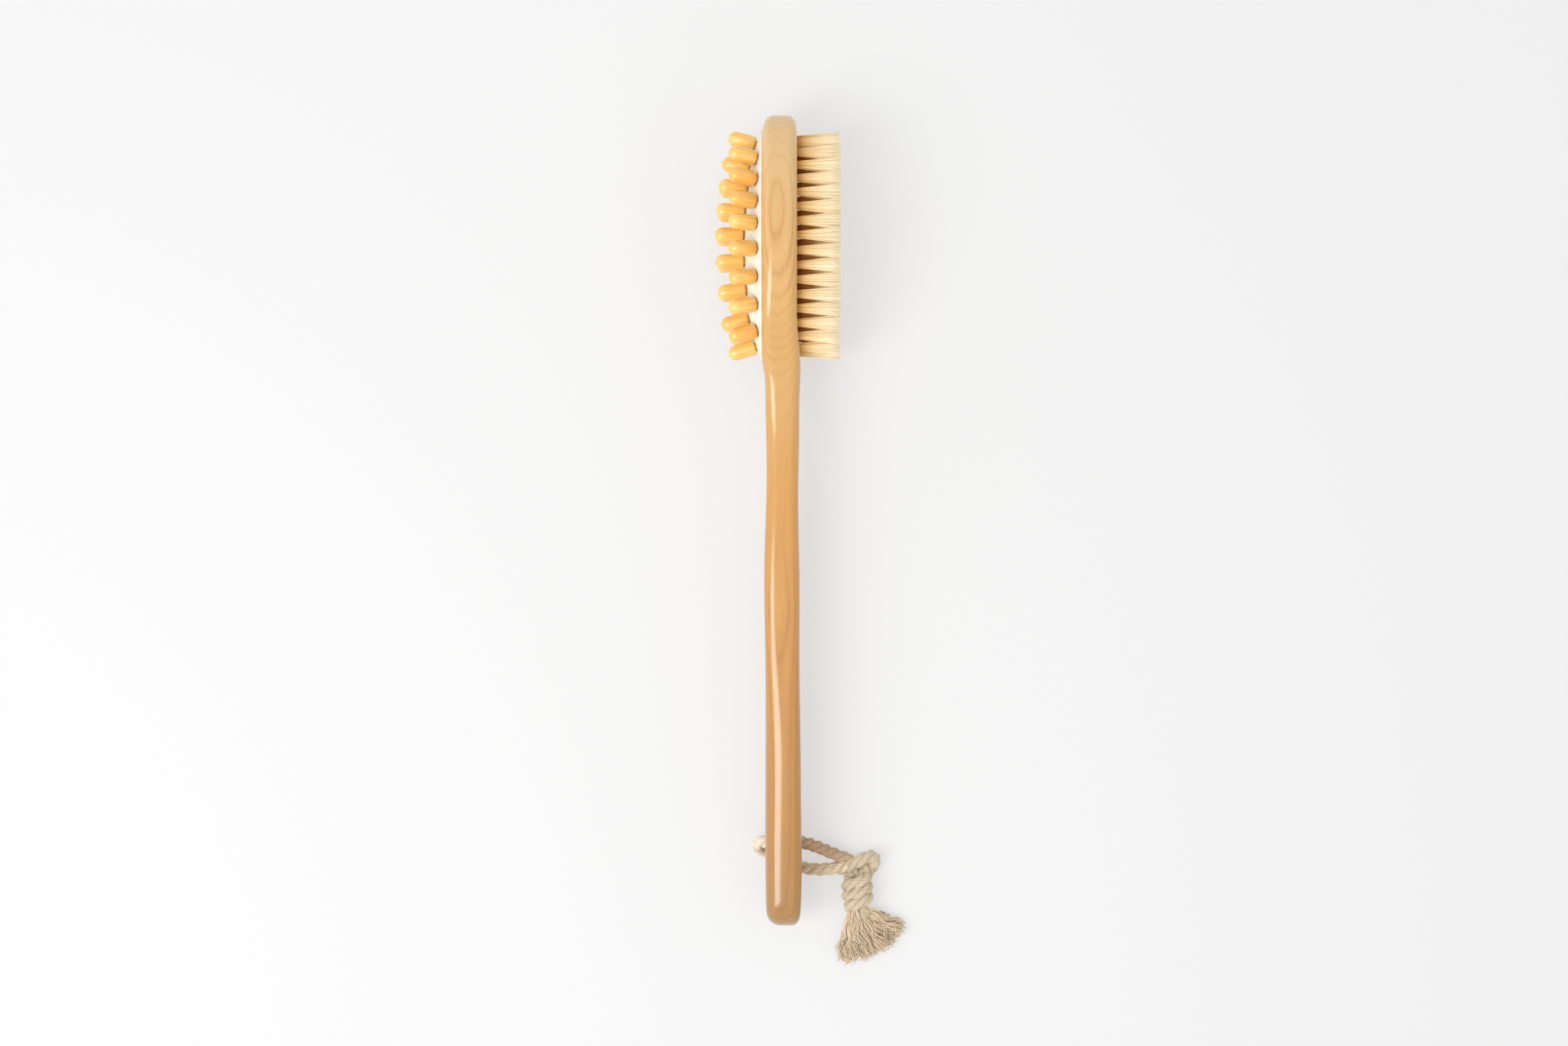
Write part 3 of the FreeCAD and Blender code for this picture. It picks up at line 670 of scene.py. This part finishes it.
def peg_profile():
    """Heights above the rubber and radii from the foot to the tip, in millimetres. The shoulder and the
    tip are quarter circles, and the foot's two corners are broken by a small bevel."""
    turn = np.linspace(0, math.pi / 2, 7)
    shoulder_z = PEG_GAP + SHOULDER_ROUND * (1 - np.cos(turn))
    shoulder_r = PEG_RADIUS - SHOULDER_ROUND + SHOULDER_ROUND * np.sin(turn)
    tip = np.linspace(0, math.pi / 2, 11)
    height = np.concatenate([[FOOT_LOW, FOOT_LOW, -3.95, -2.45, FOOT_TOP, FOOT_TOP, PEG_GAP], shoulder_z,
                             [5.0, 8.0], PEG_HEIGHT - TIP_ROUND + TIP_ROUND * np.sin(tip)])
    radius = np.concatenate([[0, 3.3, FOOT_RADIUS, FOOT_RADIUS, 3.3, STEM_RADIUS, STEM_RADIUS], shoulder_r,
                             [4.08, 3.98], TIP_ROUND * np.cos(tip)])
    return height, radius


def make_peg(number, point, out, tone):
    """One turned peg with its UV map: u goes round the peg and v goes up it."""
    height, radius = peg_profile()
    points = rings_about(point, out, height, radius, PEG_SIDES)
    uv = grid_uv(np.arange(PEG_SIDES + 1) / PEG_SIDES, height / height[-1])
    piece = make_piece(f"turned_peg_{number:02d}", set_down(points),
                       grid_faces(len(height), PEG_SIDES, True).tolist(), f"massage_peg_{number:02d}", uv)
    tidy_shell(piece)
    keep_values(piece, "tone", np.full(len(piece.data.vertices), tone))
    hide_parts(f"massage_peg_{number:02d}")
    return piece


# Pegs near the middle line, within 10 mm of it, are painted paler, to offset the warm light that the rows
# around them bounce onto them.
peg_tones = np.random.default_rng(3).random(len(peg_y)) * np.where(np.abs(peg_z) < 10, 0.4, 1.0)
pegs = [make_peg(i + 1, peg_point[i], peg_out[i], peg_tones[i]) for i in range(len(peg_y))]
print("peg faces", len(pegs[0].data.polygons))

# %% [markdown]
# The bristles are natural, stiff and cream, folded in tufts into drilled holes and cut level after
# filling. A tuft leaves its hole tight and spreads until it meets its neighbours at the tips. Every
# hair is a thin three-sided tube: the real ones are a quarter of a millimetre thick, and these are a
# little thicker, so that they show.

# %% Tuft places
TUFT_PITCH = 7.35


def round_oval(a, b):
    """Points at equal steps along an oval with half axes a and b, from its head end, as many as keep the
    tufts' pitch."""
    around = math.pi * (3 * (a + b) - math.sqrt((3 * a + b) * (a + 3 * b)))
    count = 2 * round(around / TUFT_PITCH / 2)
    angle = np.linspace(0, 2 * math.pi, 721)
    ring = np.stack([a * np.cos(angle), b * np.sin(angle), 0 * angle], axis=1)
    return evenly(ring, count + 1)[0][:-1, :2]


OUTER_ROW_HALF = (53.5, 21.5)
outer_row = round_oval(*OUTER_ROW_HALF)
at_end = np.abs(outer_row[:, 0]) > 0.8 * OUTER_ROW_HALF[0]
tuft_groups = {
    "head_end_tufts": outer_row[at_end & (outer_row[:, 0] > 0)],
    "neck_end_tufts": outer_row[at_end & (outer_row[:, 0] < 0)],
    "upper_side_tufts": outer_row[~at_end & (outer_row[:, 1] > 0)],
    "lower_side_tufts": outer_row[~at_end & (outer_row[:, 1] < 0)],
    "second_row_tufts": round_oval(46.0, 14.2),
    "third_row_tufts": round_oval(35.0, 6.9),
    "centre_row_tufts": np.array([(-TUFT_PITCH, 0), (0, 0), (TUFT_PITCH, 0)], float),
}
print({name: len(places) for name, places in tuft_groups.items()})

# %% Bristle hairs
HAIRS = 150
HAIR_RADIUS = 0.00017
BURIED = 2.0
HOLE_TUFT_RADIUS = 1.55
# Radii at the tips. The inner rows' tufts stand further apart, so they spread wider before they meet.
OUTER_TIP_RADIUS = 3.95
TIP_RADII = {"second": 4.5, "third": 5.8, "centre": 6.8}


def hair_lines(places, tip_radius, random):
    """Lines of all hairs of a group of tufts, in the straight frame. A tuft widens evenly from its radius
    at the bottom of its hole to its radius at the tips, and each hair leans a little on its own."""
    tufts = len(places)
    ring = np.sqrt(random.random((tufts, HAIRS)))
    angle = random.random((tufts, HAIRS)) * 2 * math.pi
    push = 1 + random.normal(0, 0.07, (tufts, HAIRS))
    way = np.linspace(0, 1, 5)
    width = HOLE_TUFT_RADIUS + (tip_radius - HOLE_TUFT_RADIUS) * way
    spread = width[None, None] * ring[..., None] * push[..., None]
    lean = random.normal(0, 0.28, (2, tufts, HAIRS, 1)) * way ** 2
    uneven = random.normal(0, 0.12, (tufts, HAIRS))
    trim = BRISTLE_LENGTH + uneven - 0.5 * (random.random((tufts, HAIRS)) ** 9)
    x = HALF_THICK - BURIED + (trim + BURIED)[..., None] * way
    y = HEAD_Y + places[:, 0, None, None] + spread * np.cos(angle)[..., None] + lean[0]
    z = places[:, 1, None, None] + spread * np.sin(angle)[..., None] + lean[1]
    return np.stack([x, y, z], axis=-1).reshape(tufts * HAIRS, len(way), 3)


bristles = []
for number, (name, places) in enumerate(tuft_groups.items()):
    random = np.random.default_rng(20 + number)
    lines = hair_lines(places, TIP_RADII.get(name.split("_")[0], OUTER_TIP_RADIUS), random)
    tuft = tubes(name.replace("tufts", "bristles"), set_down(lines),
                 HAIR_RADIUS * np.array([1, 1, 1, 0.95, 0.7]), 3, (0.0, 0.0, 1.0), "brush_body",
                 random.random(len(lines)))
    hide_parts(name)
    bristles.append(tuft)
print("hairs", sum(len(places) for places in tuft_groups.values()) * HAIRS)

# %% [markdown]
# The stock is a pale, fine-grained hardwood under clear gloss lacquer. The growth rings are thin
# curved layers that run the length of the brush. Where the rounded wood cuts through a layer's crest
# it shows as a long closed oval, and elsewhere as nearly straight lines. The depth through the layers
# is worked out at each point of the mesh and kept as an attribute, and the shader draws the rings.

# %% Growth rings
RING_MM = 3.1
HEAD_CREST_Y, HANDLE_CREST_Y, CREST_LENGTH = 137, -43, 26


def ring_depth(points):
    """Depth through the growth layers in millimetres: the height z, less 0.045 (x + 0.9)^2 because the
    layers are curved, plus a slope along the brush that steepens at the head, a swelling where the
    handle's oval shows with a dip below it, and a step down between head and handle."""
    x, y, z = np.moveaxis(points, -1, 0)
    steepening = np.where(y > 0, (y ** 2 - HEAD_Y ** 2) / (2 * HEAD_Y), -HEAD_Y / 2)
    slope = 0.021 * (y - HEAD_Y) + 0.089 * steepening
    swell = 1.1 * np.exp(-((y - HANDLE_CREST_Y) / 21) ** 2) - 0.5 * np.exp(-((y + 110) / 40) ** 2)
    return z - 0.045 * (x + 0.9) ** 2 + slope + swell - 1.25 * smoothstep((25 - y) / 35)


co = np.zeros(len(stock.data.vertices) * 3)
stock.data.vertices.foreach_get("co", co)
straight = co.reshape(-1, 3) * 1000 - (SIDE_SHIFT, 0, LIFT)
straight[:, 1:] = np.stack([straight[:, 1] * math.cos(TILT) + straight[:, 2] * math.sin(TILT),
                            straight[:, 2] * math.cos(TILT) - straight[:, 1] * math.sin(TILT)], axis=1)
depth = ring_depth(straight)
keep_values(stock, "ring_depth", depth)
along_stock = straight[:, 1]
keep_values(stock, "crest", 0.5 * np.exp(-((along_stock - HEAD_CREST_Y) / CREST_LENGTH) ** 2)
            + 0.8 * np.exp(-((along_stock - HANDLE_CREST_Y) / CREST_LENGTH) ** 2))
print("ring depth from", round(depth.min(), 1), "to", round(depth.max(), 1))

# %% Lacquered hardwood
# How many times each pattern changes in a metre, along X, Y and Z.
DRIFT_PER_METRE, FIGURE_PER_METRE = (160, 22, 90), (40, 14, 40)
FIBRES_PER_METRE, PORES_PER_METRE = (2600, 45, 2600), (3200, 260, 3200)
wood, tree = new_material("gloss_lacquered_hardwood")
place = add(tree, "ShaderNodeTexCoord").outputs["Object"]
layers = add(tree, "ShaderNodeAttribute", attribute_name="ring_depth").outputs["Fac"]
# The layers wander by about half a millimetre over a few centimetres.
drift_map = add(tree, "ShaderNodeMapping", {"Vector": place, "Scale": DRIFT_PER_METRE}).outputs[0]
drift = add(tree, "ShaderNodeTexNoise", {"Vector": drift_map, "Scale": 1.0, "Detail": 3.0}).outputs[0]
wander = add(tree, "ShaderNodeMath", {0: drift, 1: 1.5, 2: layers}, operation="MULTIPLY_ADD").outputs[0]
cycle = add(tree, "ShaderNodeMath", {0: wander, 1: 1 / RING_MM}, operation="MULTIPLY").outputs[0]
ring = add(tree, "ShaderNodeMath", {0: cycle}, operation="FRACT").outputs[0]
growth = add(tree, "ShaderNodeValToRGB", {0: ring})
fill_ramp(growth, [(0.0, "#D09E60"), (0.12, "#DBAF74"), (0.45, "#E3BB84"), (0.80, "#DDB278"),
                   (0.96, "#D3A265"), (1.0, "#D09E60")])
# Fibres are a third of a millimetre wide and about two centimetres long.
fibre_map = add(tree, "ShaderNodeMapping", {"Vector": place, "Scale": FIBRES_PER_METRE}).outputs[0]
fibre = add(tree, "ShaderNodeTexNoise", {"Vector": fibre_map, "Scale": 1.0, "Detail": 4.0,
                                         "Roughness": 0.65}).outputs[0]
fibre_tone = add(tree, "ShaderNodeMapRange", {0: fibre, 1: 0.3, 2: 0.7, 3: 0.90, 4: 1.08}).outputs[0]
# Pores are short dark flecks.
pore_map = add(tree, "ShaderNodeMapping", {"Vector": place, "Scale": PORES_PER_METRE}).outputs[0]
pore = add(tree, "ShaderNodeTexNoise", {"Vector": pore_map, "Scale": 1.0, "Detail": 1.0}).outputs[0]
pore_tone = add(tree, "ShaderNodeMapRange", {0: pore, 1: 0.66, 2: 0.76, 3: 1.0, 4: 0.86}).outputs[0]
# The wood is paler at the head and warmer towards the grip.
axes = add(tree, "ShaderNodeSeparateXYZ", {0: place}).outputs
along_brush = add(tree, "ShaderNodeMapRange", {0: axes["Y"], 1: 0.2, 2: -0.2, 3: 0.0, 4: 1.0}).outputs[0]
warmth = add(tree, "ShaderNodeValToRGB", {0: along_brush})
fill_ramp(warmth, [(0.02, "#FBFFFF"), (0.17, "#EEE2BC"), (0.32, "#EBDCB0"), (0.46, "#E9CD8E"),
                   (0.72, "#D3B772"), (0.88, "#C8AD6E"), (1.0, "#BAA674")])
shade = warmth.outputs[0]
# The layers show clearly at the two crests, and elsewhere in some places more than in others.
figure_map = add(tree, "ShaderNodeMapping", {"Vector": place, "Scale": FIGURE_PER_METRE}).outputs[0]
figure = add(tree, "ShaderNodeTexNoise", {"Vector": figure_map, "Scale": 1.0, "Detail": 1.0}).outputs[0]
seen = add(tree, "ShaderNodeMapRange", {0: figure, 1: 0.4, 2: 0.62, 3: 0.18, 4: 0.7}).outputs[0]
at_crest = add(tree, "ShaderNodeAttribute", attribute_name="crest").outputs["Fac"]
clearness = add(tree, "ShaderNodeMath", {0: seen, 1: at_crest}, operation="ADD",
                use_clamp=True).outputs[0]
rings = add(tree, "ShaderNodeMix", {0: clearness, 6: linear("#DDB37A"), 7: growth.outputs[0]},
            data_type="RGBA").outputs[2]
grained = add(tree, "ShaderNodeMix", {0: 1.0, 6: rings, 7: shade}, data_type="RGBA",
              blend_type="MULTIPLY").outputs[2]
flecks = add(tree, "ShaderNodeMath", {0: fibre_tone, 1: pore_tone}, operation="MULTIPLY").outputs[0]
colour = add(tree, "ShaderNodeVectorMath", {0: grained, "Scale": flecks}, operation="SCALE").outputs[0]
bump = add(tree, "ShaderNodeBump", {"Height": fibre, "Strength": 0.10, "Distance": 0.0003}).outputs[0]
gloss = add(tree, "ShaderNodeBsdfPrincipled", {
    "Base Color": colour, "Roughness": 0.45, "IOR": 1.5, "Coat Weight": 1.0, "Coat Roughness": 0.14,
    "Coat IOR": 1.5, "Normal": bump})
add(tree, "ShaderNodeOutputMaterial", {0: gloss.outputs[0]})
stock.data.materials.clear()
stock.data.materials.append(wood)
print("wood nodes", len(tree.nodes))

# %% [markdown]
# The pegs are the same family of wood, but turned small, dipped in a warm clear varnish and polished.
# Each peg is cut from a different piece, so its tone differs from its neighbours'.

# %% Varnished peg wood
varnish, tree = new_material("varnished_turned_wood")
uv_place = add(tree, "ShaderNodeUVMap", uv_map="UVMap").outputs[0]
tone = add(tree, "ShaderNodeAttribute", attribute_name="tone").outputs["Fac"]
# The grain shows as about 22 stripes round a peg, each 1.2 mm wide, which run nearly its whole height.
peg_map = add(tree, "ShaderNodeMapping", {"Vector": uv_place, "Scale": (22, 1.1, 1)}).outputs[0]
peg_seed = add(tree, "ShaderNodeMath", {0: tone, 1: 40.0}, operation="MULTIPLY").outputs[0]
peg_fibre = add(tree, "ShaderNodeTexNoise", {"Vector": peg_map, "W": peg_seed, "Scale": 1.0,
                                             "Detail": 3.0}, noise_dimensions="4D").outputs[0]
honey = add(tree, "ShaderNodeValToRGB", {0: peg_fibre})
fill_ramp(honey, [(0.28, "#EBB760"), (0.5, "#F5C874"), (0.72, "#FBD88E")])
warm = add(tree, "ShaderNodeMix", {0: tone, 6: linear("#FFFAE6"), 7: linear("#FADFB0")},
           data_type="RGBA").outputs[2]
peg_colour = add(tree, "ShaderNodeMix", {0: 1.0, 6: honey.outputs[0], 7: warm}, data_type="RGBA",
                 blend_type="MULTIPLY").outputs[2]
peg_gloss = add(tree, "ShaderNodeBsdfPrincipled", {
    "Base Color": peg_colour, "Roughness": 0.38, "IOR": 1.5, "Coat Weight": 0.8, "Coat Roughness": 0.12})
add(tree, "ShaderNodeOutputMaterial", {0: peg_gloss.outputs[0]})
for peg in pegs:
    peg.data.materials.append(varnish)
print("varnish nodes", len(tree.nodes))

# %% [markdown]
# The dome is moulded natural rubber. It is nearly matt, slightly waxy, lets a little light in at thin
# places, and has a very fine moulded texture.

# %% Cream rubber
rubber, tree = new_material("moulded_natural_rubber")
place = add(tree, "ShaderNodeTexCoord").outputs["Object"]
# Its colour clouds a little over about 17 mm, and its moulded texture is half a millimetre across.
dust = add(tree, "ShaderNodeTexNoise", {"Vector": place, "Scale": 60.0, "Detail": 4.0}).outputs[0]
cream = add(tree, "ShaderNodeValToRGB", {0: dust})
fill_ramp(cream, [(0.35, "#E9E7D8"), (0.65, "#F2F2E9")])
skin = add(tree, "ShaderNodeTexNoise", {"Vector": place, "Scale": 1800.0, "Detail": 2.0}).outputs[0]
skin_bump = add(tree, "ShaderNodeBump", {"Height": skin, "Strength": 0.12, "Distance": 0.0003}).outputs[0]
moulded = add(tree, "ShaderNodeBsdfPrincipled", {
    "Base Color": cream.outputs[0], "Roughness": 0.5, "IOR": 1.52, "Subsurface Weight": 0.15,
    "Subsurface Radius": (0.004, 0.003, 0.002), "Subsurface Scale": 0.5, "Normal": skin_bump})
add(tree, "ShaderNodeOutputMaterial", {0: moulded.outputs[0]})
cushion.data.materials.append(rubber)
print("rubber nodes", len(tree.nodes))

# %% [markdown]
# Natural bristle is a translucent, slightly shiny protein fibre. The hairs differ a little from each
# other, and are darker at their roots than at their cut tips, which is painted shade from the tufts
# around them. Light goes on through hair after hair, more times than a render follows, so a weak glow
# of the hair's own colour stands for it.

# %% Natural bristle
hair, tree = new_material("natural_cream_bristle")
tone = add(tree, "ShaderNodeAttribute", attribute_name="tone").outputs["Fac"]
hair_uv = add(tree, "ShaderNodeUVMap", uv_map="UVMap").outputs[0]
up_hair = add(tree, "ShaderNodeSeparateXYZ", {0: hair_uv}).outputs["Y"]
hair_tone = add(tree, "ShaderNodeValToRGB", {0: tone})
# About one hair in a thousand is dark.
fill_ramp(hair_tone, [(0.0, "#5C4C3C"), (0.0012, "#5C4C3C"), (0.0013, "#E6CC9E"), (0.08, "#F8ECD0"),
                      (0.7, "#FDF7E6"), (1.0, "#FFFCF2")])
# Painted shade: the roots are darker, for the shade deep among the tufts.
painted_root_shade = add(tree, "ShaderNodeValToRGB", {0: up_hair})
fill_ramp(painted_root_shade, [(0.08, "#DDAE6C"), (0.30, "#F2D9AA"), (0.55, "#FCEFD6"), (1.0, "#FFFAF0")])
hair_colour = add(tree, "ShaderNodeMix", {0: 1.0, 6: hair_tone.outputs[0], 7: painted_root_shade.outputs[0]},
                  data_type="RGBA", blend_type="MULTIPLY").outputs[2]
glow = add(tree, "ShaderNodeMapRange", {0: up_hair, 1: 0.4, 2: 1.0, 3: 0.15, 4: 0.14})
glow_colour = add(tree, "ShaderNodeVectorMath", {0: hair_colour, "Scale": glow.outputs[0]},
                  operation="SCALE").outputs[0]
fibre_gloss = add(tree, "ShaderNodeBsdfPrincipled", {
    "Base Color": hair_colour, "Roughness": 0.45, "IOR": 1.55, "Emission Color": glow_colour,
    "Emission Strength": 1.0})
add(tree, "ShaderNodeOutputMaterial", {0: fibre_gloss.outputs[0]})

# The inner rows look the same at their tips, but their roots get a deeper brown painted shade and less
# glow.
inner_shaded_hair = hair.copy()
inner_shaded_hair.name = "natural_cream_bristle_inside"
inner_shaded_hair.node_tree.nodes[glow.name].inputs[3].default_value = 0.09
fill_ramp(inner_shaded_hair.node_tree.nodes[painted_root_shade.name], [(0.08, "#94581C"), (0.40, "#BE8A48"),
                                                         (0.70, "#FCEFD6"), (1.0, "#FFFAF0")])
for tuft in bristles:
    inside = tuft.name.split("_")[0] in TIP_RADII
    tuft.data.materials.append(inner_shaded_hair if inside else hair)
print("bristle nodes", len(tree.nodes))

# %% [markdown]
# The cord is unbleached cotton: matt, with a soft edge of fibres, and darker low in the grooves between its
# yarns, which is painted shade.
# Its yarns are too fine to model, so slanting lines along each strand stand for them.

# %% Cotton
LAID_COTTON = [(0.2, "#CDB697"), (0.5, "#E6D7BF"), (0.8, "#F4ECDE")]
COMBED_COTTON = [(0.2, "#E2CBA8"), (0.5, "#F4E4CA"), (0.8, "#FDF4E4")]
cotton, tree = new_material("unbleached_cotton")
strand_uv = add(tree, "ShaderNodeUVMap", uv_map="UVMap").outputs[0]
# Seven yarns lie round each strand, and one passes every 2 mm along the cord, with fuzz 1 mm across.
yarn_map = add(tree, "ShaderNodeMapping", {"Vector": strand_uv, "Scale": (7, 60, 1)}).outputs[0]
yarn_parts = add(tree, "ShaderNodeSeparateXYZ", {0: yarn_map}).outputs
yarn_sum = add(tree, "ShaderNodeMath", {0: yarn_parts["X"], 1: yarn_parts["Y"]}, operation="ADD").outputs[0]
yarn_turn = add(tree, "ShaderNodeMath", {0: yarn_sum, 1: 2 * math.pi}, operation="MULTIPLY").outputs[0]
yarn_wave = add(tree, "ShaderNodeMath", {0: yarn_turn}, operation="SINE").outputs[0]
place = add(tree, "ShaderNodeTexCoord").outputs["Object"]
fuzz = add(tree, "ShaderNodeTexNoise", {"Vector": place, "Scale": 900.0, "Detail": 4.0}).outputs[0]
yarn_height = add(tree, "ShaderNodeMath", {0: yarn_wave, 1: 0.25, 2: fuzz},
                  operation="MULTIPLY_ADD").outputs[0]
# Low places of the yarn pattern are darker, as painted shade in the grooves between yarns, and the fuzz
# adds a random tone.
cotton_tone = add(tree, "ShaderNodeValToRGB", {0: yarn_height})
fill_ramp(cotton_tone, LAID_COTTON)
# Painted shade: the cord is browner from the knot to the hole, where the grip's shadow falls, and where it
# passes under the grip, and it stays bright on its loop.
cord_way = add(tree, "ShaderNodeSeparateXYZ", {0: strand_uv}).outputs["Y"]
painted_cord_shade = add(tree, "ShaderNodeValToRGB", {0: cord_way})
fill_ramp(painted_cord_shade, [(0.0, "#DCD0C0"), (0.10, "#C4AE98"), (0.24, "#BEA48C"), (0.42, "#FCFCFC"),
                     (0.62, "#FCFCFC"), (0.70, "#DCCCBA"), (0.80, "#F4EEE2"), (1.0, "#F4EEE2")])
cotton_and_painted_shade = add(tree, "ShaderNodeMix", {0: 1.0, 6: cotton_tone.outputs[0], 7: painted_cord_shade.outputs[0]},
           data_type="RGBA", blend_type="MULTIPLY").outputs[2]
yarn_bump = add(tree, "ShaderNodeBump", {"Height": yarn_height, "Strength": 0.6,
                                         "Distance": 0.0004}).outputs[0]
matt = add(tree, "ShaderNodeBsdfPrincipled", {
    "Base Color": cotton_and_painted_shade, "Roughness": 0.9, "IOR": 1.5, "Sheen Weight": 0.25,
    "Sheen Roughness": 0.5, "Normal": yarn_bump})
add(tree, "ShaderNodeOutputMaterial", {0: matt.outputs[0]})
cord.data.materials.append(cotton)

# The knot and the tassel get one wash instead of the painted shade along the cord, and the combed yarns of
# the tassel are paler still. A wash is one colour all along.
for piece, name, tones, wash in ((knot, "knotted_cotton", LAID_COTTON, "#E2DED2"),
                                 (tassel, "combed_cotton", COMBED_COTTON, "#FFF6EA")):
    one_wash_cotton = cotton.copy()
    one_wash_cotton.name = name
    fill_ramp(one_wash_cotton.node_tree.nodes[cotton_tone.name], tones)
    fill_ramp(one_wash_cotton.node_tree.nodes[painted_cord_shade.name], [(stop, wash) for stop in np.linspace(0, 1, 8)])
    piece.data.materials.append(one_wash_cotton)
print("cotton nodes", len(tree.nodes))

# %% [markdown]
# The tuft anchors are short pieces of flat drawn steel wire, deep in the holes. They are a CAD node
# that keeps its shape and gets a metal finish with the fine lines that drawing leaves.

# %% Steel anchors
steel, tree = new_material("flat_drawn_steel_wire")
place = add(tree, "ShaderNodeTexCoord").outputs["Object"]
# The drawn lines are a quarter of a millimetre apart and about 3 mm long.
draw_map = add(tree, "ShaderNodeMapping", {"Vector": place, "Scale": (300, 4000, 4000)}).outputs[0]
drawn = add(tree, "ShaderNodeTexNoise", {"Vector": draw_map, "Scale": 1.0, "Detail": 2.0}).outputs[0]
steel_tone = add(tree, "ShaderNodeValToRGB", {0: drawn})
fill_ramp(steel_tone, [(0.3, "#9A9A97"), (0.7, "#C6C6C3")])
metal = add(tree, "ShaderNodeBsdfPrincipled", {
    "Base Color": steel_tone.outputs[0], "Metallic": 1.0, "Roughness": 0.35})
add(tree, "ShaderNodeOutputMaterial", {0: metal.outputs[0]})
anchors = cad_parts["tuft_anchor_plates"]
anchors.data.materials.clear()
anchors.data.materials.append(steel)
print("steel nodes", len(tree.nodes))

# %% [markdown]
# The brush stands on a plain pale light table, which shines a little itself, in an evenly lit white
# room. One long soft lamp hangs on the left, a little towards the grip. It draws the broad highlights
# along the lacquer and throws the faint shadows to the right.

# %% Floor and light
FLOOR_HALF = 12
floor_points = np.array([(-1, -1, 0), (1, -1, 0), (1, 1, 0), (-1, 1, 0)], float) * FLOOR_HALF
floor_mesh = bpy.data.meshes.new("floor")
floor_mesh.from_pydata(floor_points, [], [(0, 1, 2, 3)])
floor = bpy.data.objects.new("floor", floor_mesh)
scene.collection.objects.link(floor)
table, tree = new_material("white_light_table")
table_shade = add(tree, "ShaderNodeBsdfPrincipled", {
    "Base Color": linear("#9A9A9A"), "Roughness": 0.9, "Specular IOR Level": 0.1,
    "Emission Color": (1, 1, 1, 1), "Emission Strength": 0.50})
add(tree, "ShaderNodeOutputMaterial", {0: table_shade.outputs[0]})
floor_mesh.materials.append(table)

world = bpy.data.worlds.new("white_room")
scene.world = world
world.use_nodes = True
world.node_tree.nodes["Background"].inputs["Color"].default_value = (1, 1, 1, 1)
world.node_tree.nodes["Background"].inputs["Strength"].default_value = 0.90


def soft_lamp(name, location, size, watts):
    """An oval area lamp that faces the middle of the brush. size holds its height and its width."""
    data = bpy.data.lights.new(name, "AREA")
    data.shape = "ELLIPSE"
    data.energy = watts
    data.size_y, data.size = size
    lamp = bpy.data.objects.new(name, data)
    lamp.location = location
    lamp.rotation_euler = (-lamp.location).to_track_quat("-Z", "Y").to_euler()
    scene.collection.objects.link(lamp)


soft_lamp("key", (-0.64, -0.34, 1.08), (1.25, 0.50), 9.8)
scene.view_settings.view_transform = "Standard"
print("lights ready")
